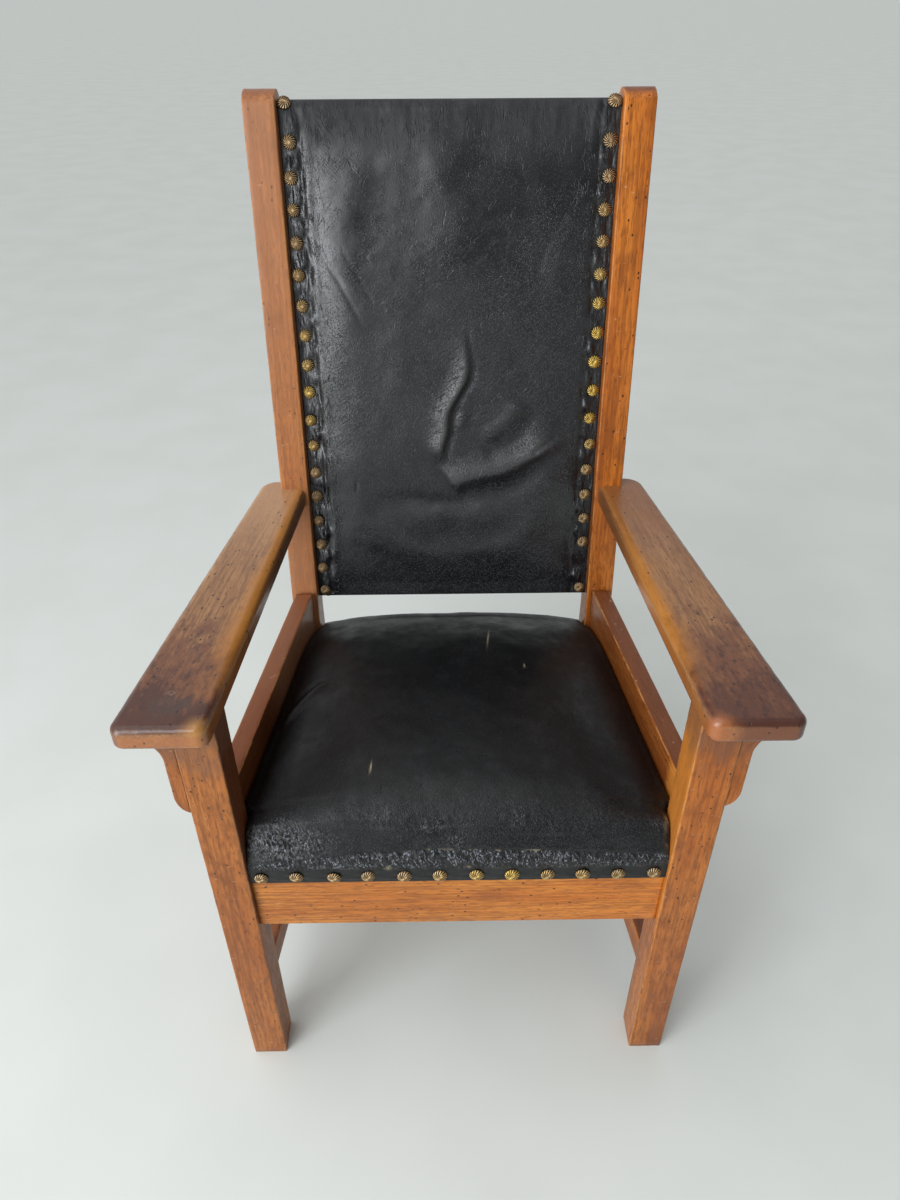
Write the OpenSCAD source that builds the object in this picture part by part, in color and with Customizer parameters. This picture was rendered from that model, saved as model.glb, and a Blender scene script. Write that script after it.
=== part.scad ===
// High-backed armchair with flat tapering arms on corbels, and a seat and back
// in black leather fixed with domed nails. Front is -Y, left is -X, up is +Z.

/* [Overall] */
// Height of the back posts above the floor
chair_h = 1150; // [1080:5:1220]
// Distance over the outer faces of the front legs
front_span = 586; // [550:2:640]
// Distance over the outer faces of the back posts
back_span = 494; // [460:2:530]
// Distance from the front of the legs to the bend of the back posts
frame_depth = 448; // [420:2:490]
// Lean of the back, in degrees
rake = 7.9; // [5:0.1:11]
// Fall of the arms and of the seat toward the back, in degrees
seat_fall = 2; // [0.5:0.1:3]

/* [Legs and posts] */
// Width of a front leg
leg_w = 46; // [42:1:52]
// Depth of a front leg, front to back
leg_d = 46; // [42:1:52]
// Width of a back post
post_w = 39; // [36:1:44]
// Depth of a back post, square to its front face
post_d = 50; // [46:1:54]
// Radius of the round top of a back post
post_top_r = 30; // [28:1:36]
// Height of the bend in a back post
bend_h = 440; // [420:2:460]
// Distance that a back foot stands behind the bend
foot_kick = 12; // [4:1:24]
// Width of the small flat taken off each long corner of a leg
arris = 1.5; // [0.8:0.1:2.5]

/* [Arms] */
// Height of the arm top, at the front face of the leg
arm_h = 674; // [650:2:700]
// Thickness of an arm
arm_t = 27; // [24:1:32]
// Distance that an arm passes the front of its leg
arm_overhang = 30; // [20:1:40]
// Distance from the front of the legs to the rear end of an arm
arm_reach = 510; // [500:1:518]
// Distance over the outer edges of the arms at their front end
arm_span = 685; // [660:1:710]
// Distance over the outer edges of the arms at their rear end
arm_rear_span = 554; // [540:1:566]
// Distance between the inner edges of the arms at their front end
arm_gap = 490; // [476:1:492]
// Distance that the rear inner edge of an arm stands in from the post's inner face
arm_rear_set = 3; // [1:0.5:8]
// Radius of the rear outer corner of an arm
arm_rear_r = 27; // [20:1:30]
// Radius of the other corners of an arm
arm_corner_r = 13; // [12:1:18]
// Radius of the arm's upper edge
arm_top_r = 9; // [6:0.5:11]
// Radius of the arm's lower edge
arm_low_r = 5; // [3:0.5:8]

/* [Corbels] */
// Height of a corbel below the arm
corbel_h = 129; // [110:1:150]
// Thickness of the lower part of a corbel
corbel_t = 15; // [12:0.5:18]
// Distance that the top of a corbel stands out from the leg
corbel_top = 44; // [38:1:48]
// Radius of the hollow under the top of a corbel
corbel_hollow_r = 36; // [32:1:42]
// Height of the round at the foot of a corbel
corbel_round = 24; // [18:1:30]
// Depth of a corbel, front to back
corbel_d = 40; // [32:1:42]
// Distance from the leg's front face to the corbel
corbel_set = 2; // [1.6:0.1:3]

/* [Seat rails] */
// Height of the underside of the front seat rail
front_rail_z = 300; // [280:2:320]
// Thickness of the front seat rail
front_rail_t = 25; // [22:1:28]
// Distance from the leg's front face to the front seat rail
front_rail_set = 8; // [6:0.5:12]
// Height of the seat deck above the floor, at the front of the legs
deck_h = 412.5; // [400:0.5:424]
// Height of a side rail's top above the floor, at its front end
side_rail_top = 506; // [496:1:520]
// Height of a side rail, top to bottom
side_rail_h = 120; // [112:1:126]
// Thickness of a side rail
side_rail_t = 25; // [22:1:28]
// Height of the rear seat rail, top to bottom
rear_rail_h = 76; // [60:1:84]
// Thickness of the rear seat rail
rear_rail_t = 25; // [22:1:28]
// Distance from the front of the posts to the rear seat rail
rear_rail_set = 8; // [5:0.5:12]
// Width of a seat ledger
ledger_w = 22; // [18:1:26]
// Height of a seat ledger
ledger_h = 24; // [18:1:26]

/* [Stretchers] */
// Height of a side stretcher's underside above the floor
stretcher_z = 119; // [100:1:130]
// Height of a stretcher, top to bottom
stretcher_h = 42; // [36:1:48]
// Thickness of a stretcher
stretcher_t = 25; // [20:1:28]
// Height of the rear stretcher's underside above the floor
rear_stretcher_z = 172; // [168:1:190]

/* [Joints] */
// Length of a tenon
tenon_len = 24; // [18:1:28]
// Thickness of a tenon
tenon_t = 12; // [9:0.5:14]
// Shoulder above and below a tenon
tenon_shoulder = 8; // [6:0.5:10]
// Clearance round a tenon, a dowel or a screw in its hole
joint_gap = 0.2; // [0.1:0.05:0.3]
// Diameter of the dowel between a leg and its arm
leg_dowel_d = 12; // [9:0.5:14]
// Diameter of the dowel between a post and its arm
post_dowel_d = 10; // [8:0.5:11]
// Diameter of a corbel dowel
corbel_dowel_d = 8; // [6:0.5:10]
// Length of a dowel on each side of its joint
dowel_half = 12; // [9:0.5:13]

/* [Seat] */
// Thickness of the leather
leather_t = 2.2; // [1.6:0.1:2.6]
// Height of the leather's nailed band on the front rail, below the deck
band_drop = 25; // [20:1:30]
// Height of the seat crown above the deck
seat_crown = 101; // [88:1:108]
// Distance over which the seat's front rounds up to its crown
nose_run = 75; // [60:1:90]
// Height of the seat leather above the deck where it meets the side rails
seat_edge = 56; // [48:1:64]
// Height of the seat leather above the deck at the back
seat_rear = 64; // [56:1:70]
// Distance over which the seat's back rounds down behind the rear rail
rear_run = 44; // [36:1:52]
// Distance that the leather is drawn down beside the side rails
tuck = 48; // [40:1:50]
// Thickness of a webbing strap
strap_t = 2; // [1.5:0.1:2.5]
// Width of a webbing strap
strap_w = 50; // [42:1:56]
// Thickness of the hessian over the webbing
hessian_t = 1; // [0.8:0.1:1.4]

/* [Back] */
// Distance from the posts' front face to the frame inside the back
back_set = 14; // [11:0.5:17]
// Thickness of the frame inside the back
back_frame_t = 22; // [18:1:24]
// Width of a stile inside the back
stile_w = 42; // [40:1:48]
// Height of a rail inside the back
back_rail_h = 50; // [44:1:58]
// Distance along the posts from their bend to the back's lower edge
back_low = 41; // [34:1:48]
// Distance along the posts from the back's upper edge to the centre of their round top
back_high = 16; // [10:1:19]
// Height of the cushion crown in the back
back_crown = 20; // [17:1:26]
// Radius of the round on the upper edges of the frame inside the back
roll_round = 8; // [5:0.5:9]
// Thickness of the leather on the rear of the back
cover_t = 1.6; // [1.2:0.1:2]

/* [Nails] */
// Diameter of a nail head
nail_d = 16.6; // [14:0.1:18]
// Height of a nail head
nail_h = 4.8; // [3.5:0.1:6]
// Diameter of a nail shank
shank_d = 2.6; // [2:0.1:3]
// Length of a nail shank below its head
shank_len = 15; // [12:0.5:17]
// Number of nails along the front of the seat
front_nail_count = 12; // [10:1:13]
// Number of nails in a column on the back
back_nail_count = 18; // [16:1:19]
// Place, from the top, of the nail that is missing from the right column
missing_nail = 17; // [2:1:17]
// Distance from a leg to the centre of the first front nail
front_nail_in = 14.5; // [12:0.5:18]
// Distance from the seat deck down to the centre of a front nail
front_nail_drop = 14.5; // [10:0.5:16]
// Distance from a post to the centre of a nail on the back
back_nail_in = 11.5; // [10:0.5:13]
// Distance from the back frame's lower edge to the centre of the lowest nails
back_nail_low = 9.5; // [8:0.5:20]
// Distance from the back frame's upper edge to the centre of the highest nails
back_nail_high = 5.5; // [4:0.5:12]
// Diameter of a tack head on the rear cover
tack_d = 9; // [7:0.5:10]
// Number of tacks in a column on the rear cover
tack_count = 9; // [6:1:12]

/* [Hidden] */
$fn = 48;

wood = "peru";
worn_wood = "sienna";
black_leather = [0.09, 0.09, 0.10];
old_brass = [0.55, 0.46, 0.28];
jute = [0.66, 0.55, 0.38];
hair = [0.45, 0.38, 0.30];
steel = "silver";

// How far a cutting tool runs past the face that it cuts
over = 1;
// Space kept between a soft piece and what it lies against
soft_gap = 0.35;

// Middle of the chair's footprint, which lies over the origin
post_round = sqrt(post_top_r * post_top_r - post_d * post_d / 4);
post_top_s = (chair_h - post_top_r - bend_h + post_d / 2 * sin(rake)) / cos(rake);
post_shoulder_s = post_top_s + post_round;
rear_y = frame_depth + post_d * cos(rake) + post_shoulder_s * sin(rake);
front_y = -arm_overhang * cos(seat_fall) - (arm_t - arm_low_r) * sin(seat_fall);
mid_y = (rear_y + front_y) / 2;

// Places of the legs and posts
leg_in = front_span / 2 - leg_w;
leg_cx = front_span / 2 - leg_w / 2;
post_in = back_span / 2 - post_w;
post_cx = back_span / 2 - post_w / 2;
foot_lean = atan(foot_kick / bend_h);
foot_y = frame_depth + foot_kick;

// Line of the side rails and side stretchers, from leg to post
rail_turn = atan((leg_cx - post_cx) / (frame_depth - leg_d));
rail_len = norm([leg_cx - post_cx, frame_depth - leg_d]);
rail_end_share = 0.8;
rail_end = rail_end_share * tenon_len;
// Half width between the side rails at a distance from the front
function rail_in(y) = leg_cx - (y - leg_d) * tan(rail_turn) - side_rail_t / 2 / cos(rail_turn);
// Height of the seat deck at a distance from the front
function deck(y) = deck_h - y * tan(seat_fall);
// Front face of the back posts at a height below their bend
function post_y(z) = frame_depth + foot_kick * (1 - z / bend_h);

// Back frame, measured along the posts from their bend
back_low_s = back_low;
back_high_s = post_top_s + back_high;
back_rear_n = back_set + back_frame_t;

function unit(v) = v / norm(v);

// Corners of a convex outline, each turned into an arc and drawn in by inset
function rounded(corners, radii, inset, steps) = [
    for (i = [0:len(corners) - 1])
    let (
        count = len(corners),
        p = corners[i],
        back_dir = unit(corners[(i + count - 1) % count] - p),
        next_dir = unit(corners[(i + 1) % count] - p),
        half = acos(back_dir * next_dir) / 2,
        centre = p + unit(back_dir + next_dir) * radii[i] / sin(half),
        first = atan2(back_dir[0], -back_dir[1]),
        sweep = 180 - 2 * half
    )
    for (k = [0:steps])
    centre + (radii[i] - inset) * [cos(first + sweep * k / steps), sin(first + sweep * k / steps)]];

// Solid through a stack of rings that have the same number of points
module stack(rings) {
    n = len(rings[0]);
    last = len(rings) - 1;
    sides = [
        for (i = [0:last - 1], j = [0:n - 1])
        let (a = i * n + j, b = i * n + (j + 1) % n)
        each [[a, a + n, b + n], [a, b + n, b]]];
    low = [for (j = [0:n - 1]) j];
    high = [for (j = [n - 1:-1:0]) last * n + j];
    polyhedron([for (r = rings, p = r) p], concat([low, high], sides), convexity = 4);
}

// Outward direction of a sheet at a point of its grid
function facing(g, i, j) = unit(cross(
    g[min(i + 1, len(g) - 1)][j] - g[max(i - 1, 0)][j],
    g[i][max(j - 1, 0)] - g[i][min(j + 1, len(g[0]) - 1)]));
// The same sheet, moved inward by a thickness
function inward(g, t) = [
    for (i = [0:len(g) - 1]) [for (j = [0:len(g[0]) - 1]) g[i][j] - t * facing(g, i, j)]];

// Solid between an outer and an inner grid of the same size
module between(outer, inner) {
    rows = len(outer);
    cols = len(outer[0]);
    size = rows * cols;
    function at(i, j) = i * cols + j;
    skin = [
        for (i = [0:rows - 2], j = [0:cols - 2])
        each [
            [at(i, j), at(i, j + 1), at(i + 1, j + 1)],
            [at(i, j), at(i + 1, j + 1), at(i + 1, j)]]];
    lining = [for (f = skin) [size + f[2], size + f[1], size + f[0]]];
    rim = concat(
        [for (j = [0:cols - 2]) [at(0, j + 1), at(0, j)]],
        [for (j = [0:cols - 2]) [at(rows - 1, j), at(rows - 1, j + 1)]],
        [for (i = [0:rows - 2]) [at(i, 0), at(i + 1, 0)]],
        [for (i = [0:rows - 2]) [at(i + 1, cols - 1), at(i, cols - 1)]]);
    edge = [for (e = rim) each [[e[0], e[1], size + e[1]], [e[0], size + e[1], size + e[0]]]];
    points = concat([for (r = outer, p = r) p], [for (r = inner, p = r) p]);
    faces = concat(skin, lining, edge);
    polyhedron(points, [for (f = faces) [f[2], f[1], f[0]]], convexity = 6);
}

// Puts a piece, drawn from the front face of the legs, over the footprint's middle
module placed() {
    translate([0, -mid_y, 0]) children();
}

// Frame of the leaning back: x across, y square to the posts' front, z up along them
module on_back() {
    translate([0, frame_depth, bend_h]) rotate([-rake, 0, 0]) children();
}

// Frame of a left side rail: y from leg to post, x toward the middle of the chair
module along_side() {
    translate([-leg_cx, leg_d, 0]) rotate([0, 0, -rail_turn]) children();
}

// Bar along a side, sloping with the seat, with its top at a height and its ends run on
module side_bar(top, h, t, run_on, shift = 0) {
    along_side()
        translate([0, 0, top]) rotate([-seat_fall, 0, 0])
            translate([shift - t / 2, -run_on, -h]) cube([t, rail_len + 2 * run_on, h]);
}

// Upright block of the left front leg, with its long corners taken off
module leg_block() {
    corners = [
        [arris, 0], [leg_w - arris, 0], [leg_w, arris], [leg_w, leg_d - arris],
        [leg_w - arris, leg_d], [arris, leg_d], [0, leg_d - arris], [0, arris]];
    translate([-front_span / 2, 0, 0]) linear_extrude(height = arm_h) polygon(corners);
}

// Everything above the underside of the arms
module above_arm_underside() {
    translate([0, 0, arm_h]) rotate([-seat_fall, 0, 0])
        translate([-arm_span, -arm_span, -arm_t]) cube([2 * arm_span, 3 * arm_span, arm_span]);
}

// Everything above the seat deck
module above_deck() {
    translate([0, 0, deck_h]) rotate([-seat_fall, 0, 0])
        translate([-front_span, -front_span, 0]) cube([2 * front_span, 3 * front_span, front_span]);
}

// Side view of a back post: bent at the seat, with a round top
module post_profile() {
    mitre = post_d / cos((rake + foot_lean) / 2);
    mitre_turn = (foot_lean - rake) / 2;
    bend = [frame_depth, bend_h];
    up = [sin(rake), cos(rake)];
    rearward = [cos(rake), -sin(rake)];
    shoulder = bend + post_shoulder_s * up;
    crown = shoulder + post_top_r * up;
    difference() {
        polygon([
            [foot_y, 0], bend, crown, crown + post_d * rearward,
            bend + mitre * [cos(mitre_turn), sin(mitre_turn)],
            [foot_y + post_d / cos(foot_lean), 0]]);
        difference() {
            polygon([
                shoulder - over * rearward,
                crown + over * (up - rearward),
                crown + post_d * rearward + over * (up + rearward),
                shoulder + (post_d + over) * rearward]);
            translate(bend + post_top_s * up + post_d / 2 * rearward) circle(r = post_top_r);
        }
    }
}

module post_block() {
    translate([-back_span / 2, 0, 0]) rotate([90, 0, 90])
        linear_extrude(height = post_w) post_profile();
}

// Tenons of the pieces that meet the left leg and post, or their mortises with a gap
module side_rail_tenons(gap) {
    side_bar(side_rail_top - tenon_shoulder + gap, side_rail_h - 3 * tenon_shoulder + 2 * gap,
        tenon_t + 2 * gap, tenon_len + gap);
}

module side_stretcher_tenons(gap) {
    wide = tenon_t + 2 * gap;
    long = rail_len + 2 * tenon_len + 2 * gap;
    high = stretcher_h - 2 * tenon_shoulder + 2 * gap;
    along_side()
        translate([-wide / 2, -tenon_len - gap, stretcher_z + tenon_shoulder - gap]) cube([wide, long, high]);
}

// Flat bar across the chair, with its ends at a half length
module cross_bar(half_len, y, t, z, h) {
    translate([-half_len, y, z]) cube([2 * half_len, t, h]);
}

// Tenons at both ends of such a bar, or their mortises with a gap
module cross_tenons(half_len, y, t, z, h, gap) {
    wide = tenon_t + 2 * gap;
    cross_bar(half_len + tenon_len + gap, y + (t - wide) / 2, wide, z - gap, h + 2 * gap);
}

front_tenon_h = side_rail_top - side_rail_h - front_rail_z - tenon_shoulder;
module front_rail_tenons(gap) {
    cross_tenons(leg_in, front_rail_set, front_rail_t,
        front_rail_z + tenon_shoulder, front_tenon_h - tenon_shoulder, gap);
}

rear_rail_y = frame_depth + rear_rail_set;
rear_rail_top = deck(rear_rail_y + rear_rail_t);
rear_rail_z = rear_rail_top - rear_rail_h;
rear_tenon_top = side_rail_top - side_rail_h - frame_depth * tan(seat_fall);
module rear_rail_tenons(gap) {
    cross_tenons(post_in, rear_rail_y, rear_rail_t,
        rear_rail_z + tenon_shoulder, rear_tenon_top - rear_rail_z - tenon_shoulder, gap);
}

rear_stretcher_y = post_y(rear_stretcher_z) + (post_d - stretcher_t) / 2;
module rear_stretcher_tenons(gap) {
    cross_tenons(post_in, rear_stretcher_y, stretcher_t,
        rear_stretcher_z + tenon_shoulder, stretcher_h - 2 * tenon_shoulder, gap);
}

back_rail_places = [back_low_s, back_high_s - back_rail_h];
module back_rail_tenon(s, gap) {
    cross_tenons(post_in, back_set, back_frame_t, s + tenon_shoulder, back_rail_h - 2 * tenon_shoulder, gap);
}

// Dowels of the left side, or their holes with a gap
module leg_dowel(gap) {
    translate([-leg_cx, leg_d / 2, arm_h - arm_t - dowel_half - gap])
        cylinder(d = leg_dowel_d + 2 * gap, h = 2 * dowel_half + 2 * gap);
}

post_dowel_y = (frame_depth + (arm_h - bend_h) * tan(rake) + arm_reach) / 2;
post_dowel_z = arm_h - arm_t / 2 - post_dowel_y * tan(seat_fall);
module post_dowel(gap) {
    translate([-back_span / 2 - dowel_half - gap, post_dowel_y, post_dowel_z]) rotate([0, 90, 0])
        cylinder(d = post_dowel_d + 2 * gap, h = 2 * dowel_half + 2 * gap);
}

corbel_dowel_shares = [0.28, 0.62];
module corbel_dowels_left(gap) {
    x = -front_span / 2 - dowel_half - gap;
    y = corbel_set + corbel_d / 2;
    for (share = corbel_dowel_shares)
        translate([x, y, arm_h - arm_t - corbel_h * share]) rotate([0, 90, 0])
            cylinder(d = corbel_dowel_d + 2 * gap, h = 2 * dowel_half + 2 * gap);
}

module left_leg() {
    difference() {
        leg_block();
        above_arm_underside();
        side_rail_tenons(joint_gap);
        side_stretcher_tenons(joint_gap);
        front_rail_tenons(joint_gap);
        leg_dowel(joint_gap);
        corbel_dowels_left(joint_gap);
    }
}

module left_post() {
    difference() {
        post_block();
        side_rail_tenons(joint_gap);
        side_stretcher_tenons(joint_gap);
        rear_rail_tenons(joint_gap);
        rear_stretcher_tenons(joint_gap);
        on_back() for (s = back_rail_places) back_rail_tenon(s, joint_gap);
        post_dowel(joint_gap);
    }
}

module left_front_leg() {
    color(wood) placed() left_leg();
}

module right_front_leg() {
    color(wood) placed() mirror([1, 0, 0]) left_leg();
}

module left_back_post() {
    color(wood) placed() left_post();
}

module right_back_post() {
    color(wood) placed() mirror([1, 0, 0]) left_post();
}

// Outline of the left arm seen from above, counter-clockwise
arm_outline = [
    [-arm_span / 2, -arm_overhang], [-arm_gap / 2, -arm_overhang],
    [-post_in - arm_rear_set, arm_reach], [-arm_rear_span / 2, arm_reach]];
// Least space that a corner's radius keeps over the radius of the upper edge
arm_edge_ease = 1;
least_arm_r = arm_top_r + arm_edge_ease;
front_arm_r = max(arm_corner_r, least_arm_r);
arm_radii = [front_arm_r, front_arm_r, least_arm_r, max(arm_rear_r, least_arm_r)];
arm_arc_steps = 6;
arm_edge_steps = 4;

function arm_ring(inset, z) = [
    for (p = rounded(arm_outline, arm_radii, inset, arm_arc_steps))
    [p[0], p[1], z]];

// Left arm: a tapering board with round edges, housed round the post
module arm_left() {
    low = [
        for (k = [0:arm_edge_steps])
        let (a = 90 * k / arm_edge_steps)
        arm_ring(arm_low_r * (1 - sin(a)), -arm_t + arm_low_r * (1 - cos(a)))];
    high = [
        for (k = [0:arm_edge_steps])
        let (a = 90 * k / arm_edge_steps)
        arm_ring(arm_top_r * (1 - cos(a)), -arm_top_r * (1 - sin(a)))];
    difference() {
        translate([0, 0, arm_h]) rotate([-seat_fall, 0, 0]) stack(concat(low, high));
        post_block();
        leg_dowel(joint_gap);
        post_dowel(joint_gap);
    }
}

module left_arm() {
    color(worn_wood) placed() arm_left();
}

module right_arm() {
    color(worn_wood) placed() mirror([1, 0, 0]) arm_left();
}

// Front view of the left corbel: round foot, straight face, hollow under a square top
round_steps = 8;
hollow_rise = sqrt(corbel_hollow_r * corbel_hollow_r - pow(corbel_hollow_r - corbel_top + corbel_t, 2));
corbel_straight_top = corbel_h - hollow_rise - corbel_t;
module corbel_profile() {
    foot = [
        for (k = [0:round_steps])
        let (a = 90 * k / round_steps)
        [corbel_t * sin(a), corbel_round * (1 - cos(a))]];
    hollow = [
        for (k = [0:round_steps])
        let (rise = hollow_rise * k / round_steps)
        [corbel_t + corbel_hollow_r - sqrt(corbel_hollow_r * corbel_hollow_r - rise * rise),
            corbel_straight_top + rise]];
    polygon(concat(foot, hollow, [[corbel_top, corbel_h + corbel_t], [0, corbel_h + corbel_t]]));
}

module corbel_left() {
    difference() {
        translate([-front_span / 2, corbel_set + corbel_d, arm_h - arm_t - corbel_h]) rotate([90, 0, 0])
            linear_extrude(height = corbel_d) mirror([1, 0, 0]) corbel_profile();
        above_arm_underside();
        corbel_dowels_left(joint_gap);
    }
}

module left_corbel() {
    color(wood) placed() corbel_left();
}

module right_corbel() {
    color(wood) placed() mirror([1, 0, 0]) corbel_left();
}

// Places of the front nails
front_nail_half = leg_in - front_nail_in;
front_nail_z = deck_h - front_nail_drop;
band_y = front_rail_set - leather_t - soft_gap;
front_nail_pitch = 2 * front_nail_half / (front_nail_count - 1);

// Nail head and shank on +Z, with the head's flat underside at zero
module nail() {
    head = [
        for (k = [0:round_steps])
        let (a = 90 * k / round_steps)
        [nail_d / 2 * cos(a), nail_h * sin(a)]];
    shank = [[0, -shank_len], [shank_d / 2, -shank_len + shank_d], [shank_d / 2, 0]];
    rotate_extrude() polygon(concat(shank, head));
}

module shank_hole() {
    translate([0, 0, -shank_len - joint_gap]) cylinder(d = shank_d + 2 * joint_gap, h = shank_len + nail_h);
}

module at_front_nails() {
    for (k = [0:front_nail_count - 1])
        translate([k * front_nail_pitch - front_nail_half, band_y, front_nail_z])
            rotate([90, 0, 0]) children();
}

module front_seat_rail() {
    color(wood) placed() difference() {
        union() {
            cross_bar(leg_in, front_rail_set, front_rail_t, front_rail_z, deck_h - front_rail_z);
            front_rail_tenons(0);
        }
        above_deck();
        at_front_nails() shank_hole();
    }
}

module rear_seat_rail() {
    color(wood) placed() difference() {
        union() {
            cross_bar(post_in, rear_rail_y, rear_rail_t, rear_rail_z, rear_rail_h + rear_rail_t);
            rear_rail_tenons(0);
        }
        above_deck();
    }
}

module side_rail_left() {
    difference() {
        side_bar(side_rail_top, side_rail_h, side_rail_t, rail_end);
        leg_block();
        post_block();
        ledger_screws_left(joint_gap);
    }
    difference() {
        side_rail_tenons(0);
        side_bar(side_rail_top, side_rail_h, side_rail_t, -tenon_len);
    }
}

module left_side_rail() {
    color(wood) placed() side_rail_left();
}

module right_side_rail() {
    color(wood) placed() mirror([1, 0, 0]) side_rail_left();
}

module side_stretcher_left() {
    difference() {
        along_side() translate([-stretcher_t / 2, -rail_end, stretcher_z])
            cube([stretcher_t, rail_len + 2 * rail_end, stretcher_h]);
        leg_block();
        post_block();
    }
    side_stretcher_tenons(0);
}

module left_lower_stretcher() {
    color(wood) placed() side_stretcher_left();
}

module right_lower_stretcher() {
    color(wood) placed() mirror([1, 0, 0]) side_stretcher_left();
}

module rear_stretcher() {
    color(wood) placed() {
        cross_bar(post_in, rear_stretcher_y, stretcher_t, rear_stretcher_z, stretcher_h);
        rear_stretcher_tenons(0);
    }
}

// Ledgers inside the side rails, which carry the cross straps
ledger_top = deck(leg_d) - strap_t;
module ledger_bar() {
    side_bar(ledger_top, ledger_h, ledger_w, 0, (side_rail_t + ledger_w) / 2);
}

// Wood screws of the left ledger, or their holes with a gap
ledger_screw_shares = [0.14, 0.5, 0.86];
screw_d = 4;
screw_head_d = 8;
screw_head_h = 3;
screw_bite = 15;
module ledger_screws_left(gap) {
    x = side_rail_t / 2 + ledger_w;
    along_side()
        for (share = ledger_screw_shares)
            let (y = rail_len * share, z = ledger_top - ledger_h / 2 - y * tan(seat_fall))
                translate([x, y, z]) rotate([0, -90, 0]) {
                    cylinder(d = screw_d + 2 * gap, h = ledger_w + screw_bite + gap);
                    cylinder(d1 = screw_head_d + 2 * gap, d2 = screw_d + 2 * gap, h = screw_head_h);
                }
}

module ledger_left() {
    difference() {
        ledger_bar();
        leg_block();
        post_block();
        ledger_screws_left(joint_gap);
    }
}

module left_seat_ledger() {
    color(wood) placed() ledger_left();
}

module right_seat_ledger() {
    color(wood) placed() mirror([1, 0, 0]) ledger_left();
}

module both_sides() {
    children();
    mirror([1, 0, 0]) children();
}

module ledger_screws() {
    color(steel) placed() both_sides() ledger_screws_left(0);
}

module leg_dowels() {
    color(wood) placed() both_sides() leg_dowel(0);
}

module post_dowels() {
    color(wood) placed() both_sides() post_dowel(0);
}

module corbel_dowels() {
    color(wood) placed() both_sides() corbel_dowels_left(0);
}

// Seat deck: lengthwise straps over the rails, cross straps on the ledgers, hessian
long_strap_shares = [-0.76, -0.38, 0, 0.38, 0.76];
cross_strap_shares = [0.14, 0.36, 0.58, 0.80];
strap_front = front_rail_set + strap_t;
strap_rear = rear_rail_y + rear_rail_t - strap_t;
module on_deck() {
    translate([0, 0, deck_h]) rotate([-seat_fall, 0, 0]) children();
}

module seat_webbing() {
    color(jute) placed() on_deck() {
        for (share = long_strap_shares)
            translate([share * (post_in - strap_w / 2) - strap_w / 2, strap_front, 0])
                cube([strap_w, strap_rear - strap_front, strap_t]);
        for (share = cross_strap_shares)
            let (y = leg_d + share * (frame_depth - leg_d), half = rail_in(y + strap_w) - strap_t)
                translate([-half, y, -strap_t]) cube([2 * half, strap_w, strap_t]);
    }
}

module seat_hessian() {
    front_half = leg_in - strap_t;
    rear_half = post_in - strap_t;
    turn_y = frame_depth - 2 * strap_t;
    outline = [
        [-front_half, strap_front], [front_half, strap_front], [rear_half, turn_y],
        [rear_half, strap_rear], [-rear_half, strap_rear], [-rear_half, turn_y]];
    color(jute) placed() on_deck() translate([0, 0, strap_t])
        linear_extrude(height = hessian_t) polygon(outline);
}

// Seat form. A row of its sheet lies at one distance from the front
seat_back_y = rear_rail_y + rear_rail_t + leather_t + soft_gap;
// Height above the deck at which the band turns into the nose
band_lift = 1;
nose_rise = seat_crown - band_lift;
roll_y = seat_back_y - rear_run;
function nose_h(y) = band_lift + nose_rise * sqrt(max(0, 1 - pow(1 - (y - band_y) / nose_run, 2)));
crest_y = band_y + nose_run;
function top_h(y) = seat_crown - (seat_crown - seat_rear) * pow((y - crest_y) / (roll_y - crest_y), 2);
function roll_h(y) = seat_rear * sqrt(max(0, 1 - pow((y - roll_y) / rear_run, 2)));
function seat_mid(y) = y < crest_y ? nose_h(y) : y < roll_y ? top_h(y) : roll_h(y);

nose_angles = [20, 36, 50];
leg_clear_y = leg_d + soft_gap;
post_clear_y = frame_depth - soft_gap;
behind_leg = 4;
// Each row: distance from the front, height of the middle and of the edge above the
// deck, half width, and the share of the full tuck that its sides are drawn down
between_legs = leg_in - soft_gap;
between_posts = post_in - soft_gap;
edge_ease_share = 0.94;
rear_edge_share = 0.8;
rear_tuck_share = 0.8;
function nose_row(y, tuck_share) = [y, nose_h(y), edge_ease_share * nose_h(y), between_legs, tuck_share];
function open_row(y) = [y, seat_mid(y), seat_edge, rail_in(y) - soft_gap, 1];
function rear_row(y, tuck_share) = [y, seat_mid(y), rear_edge_share * seat_mid(y), between_posts, tuck_share];
nose_ys = [for (a = nose_angles) band_y + nose_run * (1 - cos(a))];
nose_tuck_shares = [0.2, 0.45, 0.75];
open_shares = [0.09, 0.2, 0.33, 0.47, 0.61, 0.74, 0.86, 0.95];
roll_shares = [0.45, 0.72, 0.9];
seat_rows = concat(
    [[band_y, -band_drop, -band_drop, between_legs, 0], [band_y, band_lift, band_lift, between_legs, 0]],
    [for (k = [0:len(nose_ys) - 1]) nose_row(nose_ys[k], nose_tuck_shares[k])],
    [nose_row(leg_clear_y, 1), open_row(leg_clear_y + behind_leg)],
    [for (share = open_shares) open_row(leg_d + share * (post_clear_y - leg_d))],
    [open_row(post_clear_y - behind_leg), rear_row(post_clear_y, rear_tuck_share)],
    [for (share = roll_shares) rear_row(roll_y + share * rear_run, rear_tuck_share * (1 - share))],
    [[seat_back_y, band_lift, band_lift, between_posts, 0],
        [seat_back_y, -band_drop, -band_drop, between_posts, 0]]);
col_shares = [0.96, 0.88, 0.74, 0.54, 0.28];
edge_in = 4;
edge_drop = 1;
crown_power = 2.6;
function seat_point(r, share) = [
    share * (r[3] - edge_in), r[0], deck(r[0]) + r[2] + (r[1] - r[2]) * (1 - pow(abs(share), crown_power))];
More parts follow.
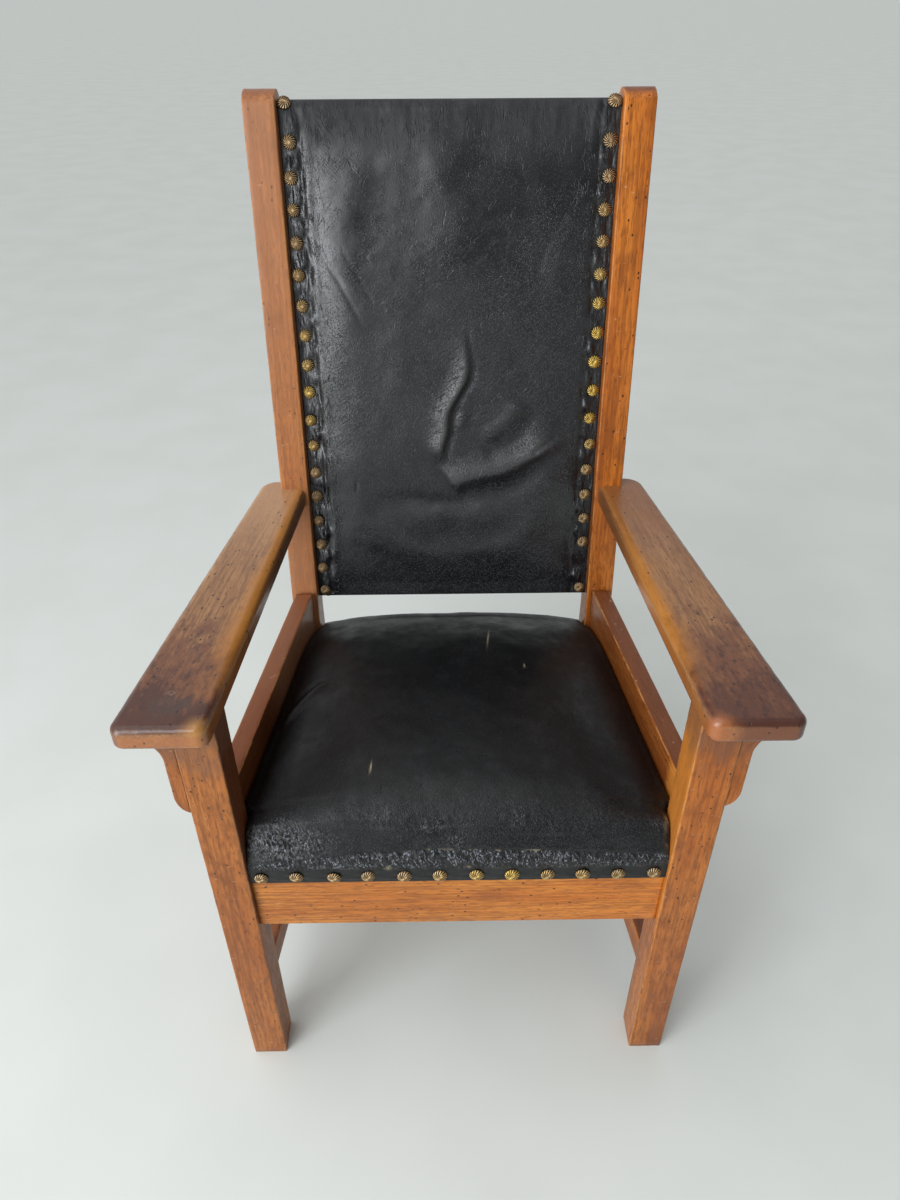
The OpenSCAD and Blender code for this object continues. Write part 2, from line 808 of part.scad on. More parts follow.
function seat_side(r, side) = [
    [side * r[3], r[0], deck(r[0]) + r[2] - edge_drop - tuck * r[4]],
    [side * (r[3] - edge_in * (1 - r[4]) / 2), r[0], deck(r[0]) + r[2] - edge_drop]];
function seat_row(r) = concat(
    seat_side(r, -1),
    [for (share = col_shares) seat_point(r, -share)], [seat_point(r, 0)],
    [for (k = [len(col_shares) - 1:-1:0]) seat_point(r, col_shares[k])],
    [seat_side(r, 1)[1], seat_side(r, 1)[0]]);
seat_grid = [for (r = seat_rows) seat_row(r)];

module seat_leather() {
    color(black_leather) placed() difference() {
        between(seat_grid, inward(seat_grid, leather_t));
        at_front_nails() shank_hole();
    }
}

// Stuffing: the same form inside the leather, closed by a flat underside on the hessian
pad_grid = inward(seat_grid, leather_t + soft_gap);
pad_base = strap_t + hessian_t + soft_gap;
module seat_stuffing() {
    top = [for (i = [2:len(pad_grid) - 4]) pad_grid[i]];
    base = [for (r = top) [for (p = r) [p[0], p[1], deck(p[1]) + pad_base]]];
    color(hair) placed() between(top, base);
}

module seat_front_nails() {
    color(old_brass) placed() at_front_nails() nail();
}

// Frame inside the back
module back_top_rail() {
    corners = [
        [back_set, -back_rail_h], [back_rear_n, -back_rail_h], [back_rear_n, 0], [back_set, 0]];
    radii = [arris, arris, roll_round, roll_round];
    color(wood) placed() difference() {
        on_back() {
            translate([-post_in, 0, back_high_s]) rotate([90, 0, 90])
                linear_extrude(height = 2 * post_in) polygon(rounded(corners, radii, 0, round_steps));
            back_rail_tenon(back_rail_places[1], 0);
        }
        both_sides() at_left_nails() shank_hole();
    }
}

module back_bottom_rail() {
    color(wood) placed() difference() {
        on_back() {
            cross_bar(post_in, back_set, back_frame_t, back_low_s, back_rail_h);
            back_rail_tenon(back_rail_places[0], 0);
        }
        both_sides() at_left_nails() shank_hole();
    }
}

module left_stile() {
    difference() {
        on_back() translate([-post_in, back_set, back_low_s + back_rail_h])
            cube([stile_w, back_frame_t, back_high_s - back_low_s - 2 * back_rail_h]);
        at_left_nails() shank_hole();
    }
}

module back_left_stile() {
    color(wood) placed() left_stile();
}

module back_right_stile() {
    color(wood) placed() mirror([1, 0, 0]) left_stile();
}

// Back form, in the frame of the leaning back. A row lies at one height
back_face = back_set - leather_t - soft_gap;
back_half = post_in - soft_gap;
margin_share = 0.9;
back_fall_power = 2.5;
rise_power = 4;
back_mid_s = (back_low_s + back_high_s) / 2;
back_half_s = (back_high_s - back_low_s) / 2;
function swell_across(share) = 1 - pow(min(1, abs(share) / margin_share), back_fall_power);
margin_up_share = 0.965;
function swell_up(s) = 1 - pow(min(1, abs(s - back_mid_s) / (back_half_s * margin_up_share)), rise_power);
roll_r = roll_round + leather_t + soft_gap;
edge_low_s = back_low_s - leather_t - soft_gap;
top_flat_s = back_high_s - roll_round;
// Each row: distance behind the posts' front face, and distance up along them
back_row_shares = [0, 0.02, 0.06, 0.13, 0.24, 0.38, 0.52, 0.66, 0.78, 0.88, 0.95, 0.985];
front_roll_angles = [30, 60, 90];
rear_roll_angles = [90, 120, 150, 180];
function roll_row(centre_n, a) = [centre_n - roll_r * cos(a), top_flat_s + roll_r * sin(a)];
back_rows = concat(
    [[back_rear_n, edge_low_s]],
    [for (share = back_row_shares) [back_face, edge_low_s + share * (top_flat_s - edge_low_s)]],
    [[back_face, top_flat_s]],
    [for (a = front_roll_angles) roll_row(back_set + roll_round, a)],
    [for (a = rear_roll_angles) roll_row(back_rear_n - roll_round, a)]);
back_cols = [1, 0.9, 0.8, 0.66, 0.48, 0.26];
function back_point(r, share) = [
    share * back_half,
    r[0] - (r[0] == back_face ? back_crown * swell_across(share) * swell_up(r[1]) : 0),
    r[1]];
function back_row(r) = concat(
    [for (share = back_cols) back_point(r, -share)], [back_point(r, 0)],
    [for (k = [len(back_cols) - 1:-1:0]) back_point(r, back_cols[k])]);
back_grid = [for (r = back_rows) back_row(r)];

// Places of the nails of the left column, and the head of one of them
nail_top_s = back_high_s - back_nail_high;
nail_low_s = back_low_s + back_nail_low;
nail_pitch = (nail_top_s - nail_low_s) / (back_nail_count - 1);
module at_left_nails(skip = 0) {
    on_back()
        for (k = [1:back_nail_count])
            if (k != skip)
                translate([-post_in + back_nail_in, back_face, nail_top_s - (k - 1) * nail_pitch])
                    rotate([90, 0, 0]) children();
}

module back_leather() {
    color(black_leather) placed() difference() {
        on_back() between(back_grid, inward(back_grid, leather_t));
        both_sides() at_left_nails() shank_hole();
    }
}

pad_cols = [3, 4, 5, 6, 7, 8, 9];
pad_rows = [4, 5, 6, 7, 8, 9, 10, 11];
module back_stuffing() {
    inner = inward(back_grid, leather_t + soft_gap);
    front = [for (i = pad_rows) [for (j = pad_cols) inner[i][j]]];
    rear = [for (r = front) [for (p = r) [p[0], back_set - strap_t - soft_gap, p[2]]]];
    color(hair) placed() on_back() between(front, rear);
}

back_strap_shares = [0.12, 0.31, 0.5, 0.69, 0.88];
back_upright_shares = [-0.5, 0, 0.5];
strap_reach = 9;
module back_webbing() {
    half = post_in - stile_w + strap_reach;
    low = back_low_s + back_rail_h - strap_reach;
    high = back_high_s - back_rail_h + strap_reach;
    color(jute) placed() on_back() {
        for (share = back_strap_shares)
            translate([-half, back_set - strap_t, low + share * (high - low) - strap_w / 2])
                cube([2 * half, strap_t, strap_w]);
        for (share = back_upright_shares)
            translate([share * half - strap_w / 2, back_set - strap_t / 2, low])
                cube([strap_w, strap_t / 2, high - low]);
    }
}

// Rear cover: a sheet on the back frame, with tacks near its edges
cover_low_s = back_low_s + soft_gap;
cover_high_s = top_flat_s - leather_t;
module back_rear_cover() {
    color(black_leather) placed() on_back()
        cross_bar(back_half, back_rear_n + soft_gap, cover_t, cover_low_s, cover_high_s - cover_low_s);
}

tack_h = 2;
tack_in = tack_d;
tack_row_count = 6;
module tack() {
    dome = [
        [0, 0], [tack_d / 2, 0], [tack_d / 2 - tack_h / 2, tack_h / 2],
        [tack_d / 4, tack_h], [0, tack_h]];
    rotate([-90, 0, 0]) rotate_extrude() polygon(dome);
}

module rear_cover_tacks() {
    low = cover_low_s + tack_in;
    high = cover_high_s - tack_in;
    half = back_half - tack_in;
    color(old_brass) placed() on_back() translate([0, back_rear_n + soft_gap + cover_t, 0]) {
        for (side = [-1, 1], k = [0:tack_count - 1])
            translate([side * half, 0, low + k * (high - low) / (tack_count - 1)]) tack();
        for (s = [low, high], k = [1:tack_row_count - 2])
            translate([half * (2 * k / (tack_row_count - 1) - 1), 0, s]) tack();
    }
}

module left_back_nails() {
    color(old_brass) placed() at_left_nails() nail();
}

module right_back_nails() {
    color(old_brass) placed() mirror([1, 0, 0]) at_left_nails(missing_nail) nail();
}

left_front_leg();
right_front_leg();
left_back_post();
right_back_post();
left_arm();
right_arm();
left_corbel();
right_corbel();
front_seat_rail();
rear_seat_rail();
left_side_rail();
right_side_rail();
left_lower_stretcher();
right_lower_stretcher();
rear_stretcher();
left_seat_ledger();
right_seat_ledger();
ledger_screws();
leg_dowels();
post_dowels();
corbel_dowels();
seat_webbing();
seat_hessian();
seat_stuffing();
seat_leather();
seat_front_nails();
back_top_rail();
back_bottom_rail();
back_left_stile();
back_right_stile();
back_webbing();
back_stuffing();
back_leather();
back_rear_cover();
rear_cover_tacks();
left_back_nails();
right_back_nails();
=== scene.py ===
"""Looks of a high-backed armchair: worn orange-brown wood, old black leather, domed nails.

Sizes are in metres. A bench place is measured from the middle of the chair (x), from the front
face of the front legs (y) and from the floor (z), and put_down() moves it over the footprint.
"""
import math

import bpy
import numpy as np
from mathutils import Matrix, Vector


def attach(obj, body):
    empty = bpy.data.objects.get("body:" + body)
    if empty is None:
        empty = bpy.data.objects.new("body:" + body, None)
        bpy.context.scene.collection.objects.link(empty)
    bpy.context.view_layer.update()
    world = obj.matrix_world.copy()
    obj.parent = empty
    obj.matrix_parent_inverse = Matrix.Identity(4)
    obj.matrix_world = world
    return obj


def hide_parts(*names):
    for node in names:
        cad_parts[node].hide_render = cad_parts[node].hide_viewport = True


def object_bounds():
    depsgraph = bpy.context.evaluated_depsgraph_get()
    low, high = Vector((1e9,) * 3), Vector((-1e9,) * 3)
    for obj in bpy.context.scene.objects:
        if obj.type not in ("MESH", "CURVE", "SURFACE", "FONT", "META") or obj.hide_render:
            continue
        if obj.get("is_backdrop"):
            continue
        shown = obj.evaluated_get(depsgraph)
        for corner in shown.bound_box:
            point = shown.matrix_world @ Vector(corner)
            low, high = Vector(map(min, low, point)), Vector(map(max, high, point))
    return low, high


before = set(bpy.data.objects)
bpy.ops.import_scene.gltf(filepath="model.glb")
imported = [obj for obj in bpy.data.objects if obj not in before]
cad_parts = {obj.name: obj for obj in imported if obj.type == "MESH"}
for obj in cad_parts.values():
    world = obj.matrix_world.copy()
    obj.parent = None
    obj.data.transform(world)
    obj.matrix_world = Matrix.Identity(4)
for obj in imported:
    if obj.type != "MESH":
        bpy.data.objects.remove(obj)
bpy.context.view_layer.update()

MM = 0.001
SIDES = {-1: "left", 1: "right"}
# Distance from the front face of the legs to the middle of the footprint
MID_Y = 281.95 * MM

# Legs, posts and arms
LEG_W = 46 * MM
LEG_X = 270 * MM
POST_W = 39 * MM
POST_D = 50 * MM
POST_X = 227.5 * MM
POST_IN = 208 * MM
LEG_IN = 247 * MM
BEND_Y = 448 * MM
BEND_Z = 440 * MM
FOOT_Y = 460 * MM
RAKE = math.radians(7.9)
# Up along the leaning back, and square to it toward the rear
UP_BACK = np.array([0, math.sin(RAKE), math.cos(RAKE)])
REARWARD = np.array([0, math.cos(RAKE), -math.sin(RAKE)])
POST_TOP_S = 689.98 * MM
POST_TOP_R = 30 * MM
ARM_Z = 674 * MM
ARM_T = 27 * MM
ARM_FRONT_Y = -30 * MM
ARM_REAR_Y = 510 * MM
# The left arm's outer and inner edges, at its front and its rear
ARM_OUTER_X = -342.5 * MM, -277 * MM
ARM_INNER_X = -245 * MM, -211 * MM
SEAT_FALL = math.radians(2)
FALL = math.tan(SEAT_FALL)

# Rails and the seat deck
DECK_Z = 412.5 * MM
RAIL_T = 25 * MM
RAIL_ARRIS = 1.6 * MM
RAIL_TURN = math.atan((LEG_X - POST_X) / (BEND_Y - LEG_W))
SIDE_RAIL_TOP = 506 * MM
SIDE_RAIL_H = 120 * MM
FRONT_RAIL_Z = 300 * MM
FRONT_RAIL_Y = 8 * MM
REAR_RAIL_Y = 456 * MM
REAR_RAIL_H = 76 * MM
STRETCHER_Z = 119 * MM
STRETCHER_H = 42 * MM
REAR_STRETCHER_Z = 172 * MM
REAR_STRETCHER_Y = 467.8 * MM

# Leather seat and back
LEATHER_T = 2.2 * MM
LEATHER_FIELDS = "worn", "pebbled", "dust", "hatch", "cracks", "slant", "strip", "crimp"
SEAT_GAP = 0.4 * MM
BAND_Y = 5.45 * MM
BAND_DROP = 25 * MM
SEAT_BACK_Y = 483.55 * MM
BACK_N = 11.45 * MM
BACK_HALF = 207.65 * MM
BACK_LOW_S = 38.45 * MM
BACK_ROLL_S = 697.98 * MM
BACK_ROLL_N = 22 * MM
BACK_ROLL_R = 10.55 * MM
BACK_REAR_N = 36.1 * MM
COVER_N = 36.35 * MM
COVER_LOW_S = 49.35 * MM
COVER_HIGH_S = 695.78 * MM

# The seat's crown: its nose, its top and its rear roll
NOSE_H = 78 * MM
NOSE_RUN = 76 * MM
CROWN = 101 * MM
CROWN_RUN = 190 * MM
REAR_H = 56 * MM
REAR_RUN = 44 * MM

# Nails
NAIL_R = 8.3 * MM
NAIL_H = 4.8 * MM
FRONT_NAIL_HALF = 232.5 * MM
FRONT_NAIL_COUNT = 12
FRONT_NAIL_Z = 398 * MM
BACK_NAIL_X = 196.5 * MM
BACK_NAIL_TOP_S = 700.48 * MM
BACK_NAIL_LOW_S = 50.5 * MM
BACK_NAIL_COUNT = 18
BACK_NAIL_PITCH = (BACK_NAIL_TOP_S - BACK_NAIL_LOW_S) / (BACK_NAIL_COUNT - 1)
MISSING_NAIL = 17


def smoothstep(low, high, value):
    """0 below low, 1 above high, and an even S-curve between."""
    t = np.clip((value - low) / (high - low), 0, 1)
    return t * t * (3 - 2 * t)


def until(low, high, value):
    """1 below low, 0 above high, and an even S-curve between."""
    return 1 - smoothstep(low, high, value)


def bell(distance, width):
    """1 at the middle, falling to nothing over about two widths."""
    return np.exp(-((distance / width) ** 2))


def cloud(x, y, size, seed):
    """Smooth noise from -1 to 1: seeded random heights on a square lattice, blended between its corners."""
    side = 256
    heights = np.random.RandomState(seed).uniform(-1, 1, (side, side))
    u, v = x / size + side / 3, y / size + side / 3
    i, j = np.floor(u).astype(int), np.floor(v).astype(int)
    fu, fv = u - i, v - j
    fu, fv = fu * fu * (3 - 2 * fu), fv * fv * (3 - 2 * fv)
    i, j = i % side, j % side
    near = heights[i, j] * (1 - fu) + heights[(i + 1) % side, j] * fu
    far = heights[i, (j + 1) % side] * (1 - fu) + heights[(i + 1) % side, (j + 1) % side] * fu
    return near * (1 - fv) + far * fv


def clouds(x, y, size, seed, octaves=3):
    """Sum of smooth noise at halving sizes and halving heights."""
    return sum(cloud(x, y, size / 2 ** k, seed + k) / 2 ** k for k in range(octaves))


def ridges(x, y, size, seed):
    """Sharp-crested wrinkles from 0 to 1, high where two sums of smooth noise pass through nothing."""
    wander = 0.5 * size * cloud(x, y, 2.5 * size, seed + 9)
    near = np.abs(cloud(x + wander, y, size, seed) + 0.5 * cloud(x, y + wander, 0.5 * size, seed + 1))
    return np.clip(1 - 1.6 * near, 0, 1)


def eased(points, rounds=2):
    """An open path with its corners cut by Chaikin's rule, a few rounds."""
    path = np.array(points, float)
    for _ in range(rounds):
        a, b = path[:-1], path[1:]
        cut = np.stack([0.75 * a + 0.25 * b, 0.25 * a + 0.75 * b], 1).reshape(-1, 2)
        path = np.vstack([path[:1], cut, path[-1:]])
    return path


def lengths(path):
    """Lengths along a path, from its start to each of its points."""
    return np.concatenate([[0], np.cumsum(np.linalg.norm(np.diff(path, axis=0), axis=1))])


def off_path(x, y, points):
    """Signed distance of places from an eased path, and how far along it (0 to 1) the nearest point lies."""
    path = eased(points)
    done = lengths(path)
    best = np.full(x.shape, np.inf)
    signed, along = np.zeros(x.shape), np.zeros(x.shape)
    for (ax, ay), (bx, by), start, end in zip(path[:-1], path[1:], done[:-1], done[1:]):
        dx, dy = (bx - ax) / (end - start), (by - ay) / (end - start)
        t = np.clip((x - ax) * dx + (y - ay) * dy, 0, end - start)
        px, py = x - ax - t * dx, y - ay - t * dy
        distance = np.hypot(px, py)
        nearer = distance < best
        best = np.where(nearer, distance, best)
        signed = np.where(nearer, np.sign(dx * py - dy * px) * distance, signed)
        along = np.where(nearer, (start + t) / done[-1], along)
    return signed, along


def fading(along, start, end):
    """1 along a path, dying over its first and its last share."""
    return smoothstep(0, start, along) * smoothstep(0, end, 1 - along)


def fold(x, y, points, width, height, lean=0.0):
    """A fold along a path: a bell-shaped ridge, with a hollow on one side when lean isn't 0, dying at
    its ends."""
    signed, along = off_path(x, y, points)
    hollow = bell(signed - math.copysign(1.7 * width, lean), 1.2 * width) if lean else 0
    return height * fading(along, 0.2, 0.2) * (bell(signed, width) - abs(lean) * hollow)


def off_row(along, pitch):
    """Distance from the nearest place of a row, whose places stand a pitch apart."""
    return along - np.round(along / pitch) * pitch


def places(x, y, z):
    """Places from three measures, each of them a grid or one number."""
    return np.stack(np.broadcast_arrays(x, y, z), -1)


def put_down(points):
    """Bench places moved over the middle of the footprint."""
    return points - np.array([0, MID_Y, 0])


def show(name, data):
    """A new object in the scene."""
    made = bpy.data.objects.new(name, data)
    bpy.context.scene.collection.objects.link(made)
    return made


def piece(name, points, faces, **fields):
    """A smooth mesh object from bench places and faces, turned so that its faces point outwards, with
    point fields."""
    points = put_down(np.asarray(points, float).reshape(-1, 3))
    inside = sum(
        np.einsum("ij,ij->i", points[f[:, 0]], np.cross(points[f[:, k]], points[f[:, k + 1]])).sum()
        for f in faces for k in range(1, f.shape[1] - 1))
    if inside < 0:
        faces = [f[:, ::-1] for f in faces]
    mesh = bpy.data.meshes.new(name)
    mesh.from_pydata(points.tolist(), [], [row for f in faces for row in f.tolist()])
    mesh.polygons.foreach_set("use_smooth", np.full(len(mesh.polygons), True))
    for field, values in fields.items():
        values = np.asarray(values, np.float32)
        kind, key = ("FLOAT_VECTOR", "vector") if values.shape[-1] == 3 else ("FLOAT", "value")
        mesh.attributes.new(field, kind, "POINT").data.foreach_set(key, values.ravel())
    mesh.update()
    return show(name, mesh)


def tube_faces(rows, around):
    """Quads between neighbouring closed rings, and one face over each end ring."""
    i = np.arange(rows - 1)[:, None] * around
    j = np.arange(around)[None, :]
    k = (j + 1) % around
    sides = np.stack([i + j, i + k, i + around + k, i + around + j], -1).reshape(-1, 4)
    ends = np.stack([np.arange(around)[::-1], (rows - 1) * around + np.arange(around)])
    return [sides, ends]


# Wood


def bar(name, centre, across, through, half_w, half_d, arris, seed, bare=False):
    """A wooden bar: a rounded rectangle carried along stations.

    A ring's point is centre + a * across + b * through, where (a, b) runs round a rectangle of the
    station's half sizes with quarter-round arrises. When the first end is bare, three rings round it
    over. The long arrises are dented by noise. The fields say where a point lies in the board and
    how far it is from the nearest edge.
    """
    centre = np.array(centre, float)
    n = len(centre)
    across, through = (np.broadcast_to(np.array(v, float), (n, 3)) for v in (across, through))
    half_w, half_d, arris = (np.broadcast_to(v, n) for v in (half_w, half_d, arris))
    inset = np.zeros(n)
    if bare:
        turn = np.radians([90, 60, 30])
        inset[:3] = arris[0] * (1 - np.cos(turn))
        step = centre[3] - centre[0]
        centre[:3] = centre[0] + step / np.linalg.norm(step) * (arris[0] * (1 - np.sin(turn)))[:, None]
    corners = []
    for quarter, (sx, sy) in enumerate([(1, 1), (-1, 1), (-1, -1), (1, -1)]):
        angle = np.radians(90 * quarter + np.linspace(0, 90, 5))
        corners.append(np.stack([
            sx * (half_w - arris)[:, None] + (arris - inset)[:, None] * np.cos(angle),
            sy * (half_d - arris)[:, None] + (arris - inset)[:, None] * np.sin(angle)]))
    share = np.arange(1, 6) / 6
    ring = []
    for corner, following in zip(corners, corners[1:] + corners[:1]):
        ring += [corner, corner[..., -1:] * (1 - share) + following[..., :1] * share]
    a, b = np.concatenate(ring, -1)
    along = lengths(centre)[:, None]
    rim = np.maximum(half_w[:, None] - np.abs(a), half_d[:, None] - np.abs(b))
    if bare:
        rim = np.minimum(rim, along)
    turn = np.arctan2(b, a)
    dent = bell(rim, 2.5 * MM) * 0.35 * MM * np.maximum(
        0, clouds(along + turn, turn * 0.7 + seed, 9 * MM, 40 + seed) - 0.25)
    pull = 1 - dent / np.maximum(np.hypot(a, b), 1 * MM)
    points = (centre[:, None, :] + (a * pull)[..., None] * across[:, None, :]
              + (b * pull)[..., None] * through[:, None, :])
    board = places(a + 0.37 * seed, b - 0.23 * seed, along + 0.71 * seed)
    return piece(name, points, tube_faces(n, a.shape[1]), board=board, rim=rim)


def between(start, end, steps):
    """Evenly spaced points from one place to another."""
    return np.linspace(np.asarray(start, float), np.asarray(end, float), steps + 1)


def front_leg(side):
    """A square leg from the floor into the underside of its arm, with worn arrises."""
    half = LEG_W / 2
    centre = between((side * LEG_X, half, 0), (side * LEG_X, half, ARM_Z - ARM_T), 160)
    return bar(f"{SIDES[side]}_leg_timber", centre, (1, 0, 0), (0, 1, 0), half, half, 2.2 * MM, 2 + side,
               True)


def back_post(side):
    """A post bent at the seat. Its front and rear faces run from foot to bend and on up the rake,
    and above the shoulder its depth follows the circle of its round top."""
    lean = math.atan((FOOT_Y - BEND_Y) / BEND_Z)
    x = side * POST_X
    bend = np.array([x, BEND_Y, BEND_Z])
    mitre, turn = POST_D / math.cos((RAKE + lean) / 2), (lean - RAKE) / 2
    bend_rear = bend + mitre * np.array([0, math.cos(turn), math.sin(turn)])
    foot = np.array([x, FOOT_Y, 0])
    foot_rear = foot + np.array([0, POST_D / math.cos(lean), 0])
    shoulder = POST_TOP_S + math.sqrt(POST_TOP_R ** 2 - POST_D ** 2 / 4)
    sweep = np.linspace(math.asin((shoulder - POST_TOP_S) / POST_TOP_R), math.radians(86), 14)[1:]
    straight = bend + UP_BACK * shoulder
    middles = bend + UP_BACK * (POST_TOP_S + POST_TOP_R * np.sin(sweep))[:, None] + REARWARD * POST_D / 2
    halves = REARWARD * (POST_TOP_R * np.cos(sweep))[:, None]
    front = np.vstack([between(foot, bend, 90), between(bend, straight, 140)[1:], middles - halves])
    rear = np.vstack([between(foot_rear, bend_rear, 90),
                      between(bend_rear, straight + POST_D * REARWARD, 140)[1:], middles + halves])
    size = np.linalg.norm(rear - front, axis=1)
    return bar(f"{SIDES[side]}_post_timber", (front + rear) / 2, (1, 0, 0), (rear - front) / size[:, None],
               POST_W / 2, size / 2, np.minimum(2.0 * MM, 0.45 * size), 7 + side, True)


def side_line(side, rear_y, steps, z, fall=0.0):
    """Places on the middle line from a leg to its post, falling to the rear."""
    y = np.linspace(LEG_W - 1 * MM, rear_y, steps + 1)
    share = (y - LEG_W) / (BEND_Y - LEG_W)
    return places(side * (LEG_X + (POST_X - LEG_X) * share), y, z - (y - LEG_W) * fall)


def side_rail(side):
    """A side rail, higher than the seat's front and sloping with it, from leg to post."""
    centre = side_line(side, BEND_Y + 1 * MM, 120, SIDE_RAIL_TOP - SIDE_RAIL_H / 2, FALL)
    return bar(f"{SIDES[side]}_rail_timber", centre, (1, 0, 0), (0, 0, 1),
               RAIL_T / 2 / math.cos(RAIL_TURN), SIDE_RAIL_H / 2, RAIL_ARRIS, 12 + side)


def side_stretcher(side):
    """A low, level stretcher from leg to post."""
    centre = side_line(side, FOOT_Y - 1 * MM, 100, STRETCHER_Z + STRETCHER_H / 2)
    return bar(f"{SIDES[side]}_stretcher_timber", centre, (1, 0, 0), (0, 0, 1), RAIL_T / 2, STRETCHER_H / 2,
               RAIL_ARRIS, 17 + side)


def cross_rail(name, half, y, low, high, seed):
    """A bar across the chair between two posts or two legs."""
    centre = between((-half, y + RAIL_T / 2, (low + high) / 2), (half, y + RAIL_T / 2, (low + high) / 2), 120)
    return bar(name, centre, (0, 1, 0), (0, 0, 1), RAIL_T / 2, (high - low) / 2, RAIL_ARRIS, seed)


def corbel(side):
    """A bracket under the arm. Its thickness follows its outline: a quarter-ellipse foot, a straight
    face, then a circular hollow out to the square top."""
    height, thick, top, hollow, foot = 129 * MM, 15 * MM, 44 * MM, 36 * MM, 24 * MM
    rise = math.sqrt(hollow ** 2 - (hollow - top + thick) ** 2)
    level = height - rise - thick
    turn = np.linspace(0, math.pi / 2, 15)[1:]
    lift = rise * np.sin(np.linspace(0, math.pi / 2, 25))[1:]
    z = np.concatenate([foot * (1 - np.cos(turn)), np.linspace(foot, level, 40)[1:], level + lift,
                        np.linspace(level + rise, height, 6)[1:]])
    width = np.concatenate([thick * np.sin(turn), np.full(39, thick),
                            thick + hollow - np.sqrt(hollow ** 2 - lift ** 2), np.full(5, top)])
    centre = places(side * (LEG_X + LEG_W / 2 + width / 2), 22 * MM, ARM_Z - ARM_T - height + z)
    return bar(f"{SIDES[side]}_corbel_timber", centre, (1, 0, 0), (0, 1, 0), width / 2, 20 * MM,
               np.minimum(1.8 * MM, 0.45 * width), 22 + side)


def arm(side):
    """A tapering flat arm, as loops carried from its front end to its rear end.

    A loop goes up the outer profile, over the top, down the inner profile and back below. A
    profile's point lies a little inside the outline, by its edge's round. Near an end each point
    swings round its corner's arc, and a grid between the two profiles closes the end. Both arms are
    laid out as the left one.
    """
    turn = np.radians(np.linspace(0, 90, 9))
    low_r, high_r = 5 * MM, 9 * MM
    low_h, high_h = -ARM_T + low_r * (1 - np.cos(turn)), -high_r * (1 - np.sin(turn))
    wall = np.linspace(low_h[-1], high_h[0], 5)[1:-1]
    inset = np.concatenate([low_r * (1 - np.sin(turn)), 0 * wall, high_r * (1 - np.cos(turn))])
    height = np.concatenate([low_h, wall, high_h])
    rows, columns = len(inset), 26
    # Stations: angles round the front corners, places along the straight, angles round the rear ones
    swing = np.radians(np.linspace(0, 90, 12))
    straight = np.linspace(0, 1, 170)[1:-1]
    swings = np.concatenate([swing, np.full(straight.shape, math.pi / 2), swing[::-1]])[:, None]
    share = np.concatenate([0 * swing, straight, 1 + 0 * swing])[:, None]
    stations = len(swings)
    at_rear = (np.arange(stations) >= stations - len(swing))[:, None]

    def edge_x(edge, y):
        """How far an edge lies from the middle of the chair, at places along the arm."""
        return edge[0] + (edge[1] - edge[0]) * (y - ARM_FRONT_Y) / (ARM_REAR_Y - ARM_FRONT_Y)

    def outline(edge, front_r, rear_r, sign, rounder):
        """One edge's places at every station and profile point; sign says which way is outward."""
        radius = np.where(at_rear, rear_r, front_r)
        straight_y = ARM_FRONT_Y + front_r + share * (ARM_REAR_Y - rear_r - ARM_FRONT_Y - front_r)
        reach = radius - inset * rounder
        return np.stack([edge_x(edge, straight_y) + sign * (reach * np.sin(swings) - radius),
                         straight_y + np.where(at_rear, 1, -1) * reach * np.cos(swings)])

    outer = outline(ARM_OUTER_X, 13 * MM, 27 * MM, -1, 1)
    # The upper inner edge is worn rounder where an arm lies on it
    rub = 1 + 0.5 * smoothstep(0.05, 0.3, share) * until(0.75, 0.95, share)
    inner = outline(ARM_INNER_X, 13 * MM, 10 * MM, 1, rub)
    step = np.arange(1, columns) / columns
    across = outer[..., None] * (1 - step) + inner[..., None] * step
    x, y = np.concatenate([outer, across[:, :, -1], inner[:, :, ::-1], across[:, :, 0, ::-1]], 2)
    h = np.concatenate([height, 0 * step, height[::-1], -ARM_T + 0 * step])
    around = x.shape[1]
    # Ends: a grid between the profiles of the first and of the last loop
    plan, end_faces = [places(x, y, h).reshape(-1, 3)], []
    fresh = np.arange((rows - 2) * (columns - 1)).reshape(rows - 2, columns - 1) + stations * around
    for station in (0, stations - 1):
        up, over, down, below = np.split(station * around + np.arange(around),
                                         np.cumsum([rows, columns - 1, rows]))
        index = np.zeros((rows, columns + 1), int)
        index[:, 0], index[-1, 1:-1], index[:, -1], index[0, 1:-1] = up, over, down[::-1], below[::-1]
        index[1:-1, 1:-1] = fresh
        fresh = fresh + fresh.size
        plan.append(places(*across[:, station, 1:-1], height[1:-1, None]).reshape(-1, 3))
        quads = np.stack([index[:-1, :-1], index[:-1, 1:], index[1:, 1:], index[1:, :-1]], -1).reshape(-1, 4)
        end_faces.append(quads[:, ::-1] if station == 0 else quads)
    sides, _ = tube_faces(stations, around)
    x, y, h = np.vstack(plan).T
    outer_edge, inner_edge = edge_x(ARM_OUTER_X, y), edge_x(ARM_INNER_X, y)
    to_edge = np.minimum.reduce([x - outer_edge, inner_edge - x, y - ARM_FRONT_Y, ARM_REAR_Y - y])
    rim = np.maximum(to_edge, np.minimum(-h, h + ARM_T))
    top = smoothstep(-ARM_T * 0.6, -ARM_T * 0.3, h)
    dent = bell(rim - 2 * MM, 4 * MM) * 0.7 * MM * np.maximum(0, clouds(x, y, 13 * MM, 60 + side) - 0.15)
    h = h - top * dent + top * 0.3 * MM * cloud(x, y, 60 * MM, 63 + side) * smoothstep(0, 20 * MM, to_edge)
    points = places(-side * x, y * math.cos(SEAT_FALL) + h * math.sin(SEAT_FALL),
                    ARM_Z - y * math.sin(SEAT_FALL) + h * math.cos(SEAT_FALL))
    x = x - (outer_edge + inner_edge) / 2
    return piece(f"{SIDES[side]}_arm_timber", points, [sides[:, ::-1]] + end_faces,
                 board=places(x + 0.53 * (1 + side), h, y + 0.9 * side), rim=rim, place=places(x, h, y))


# Nails


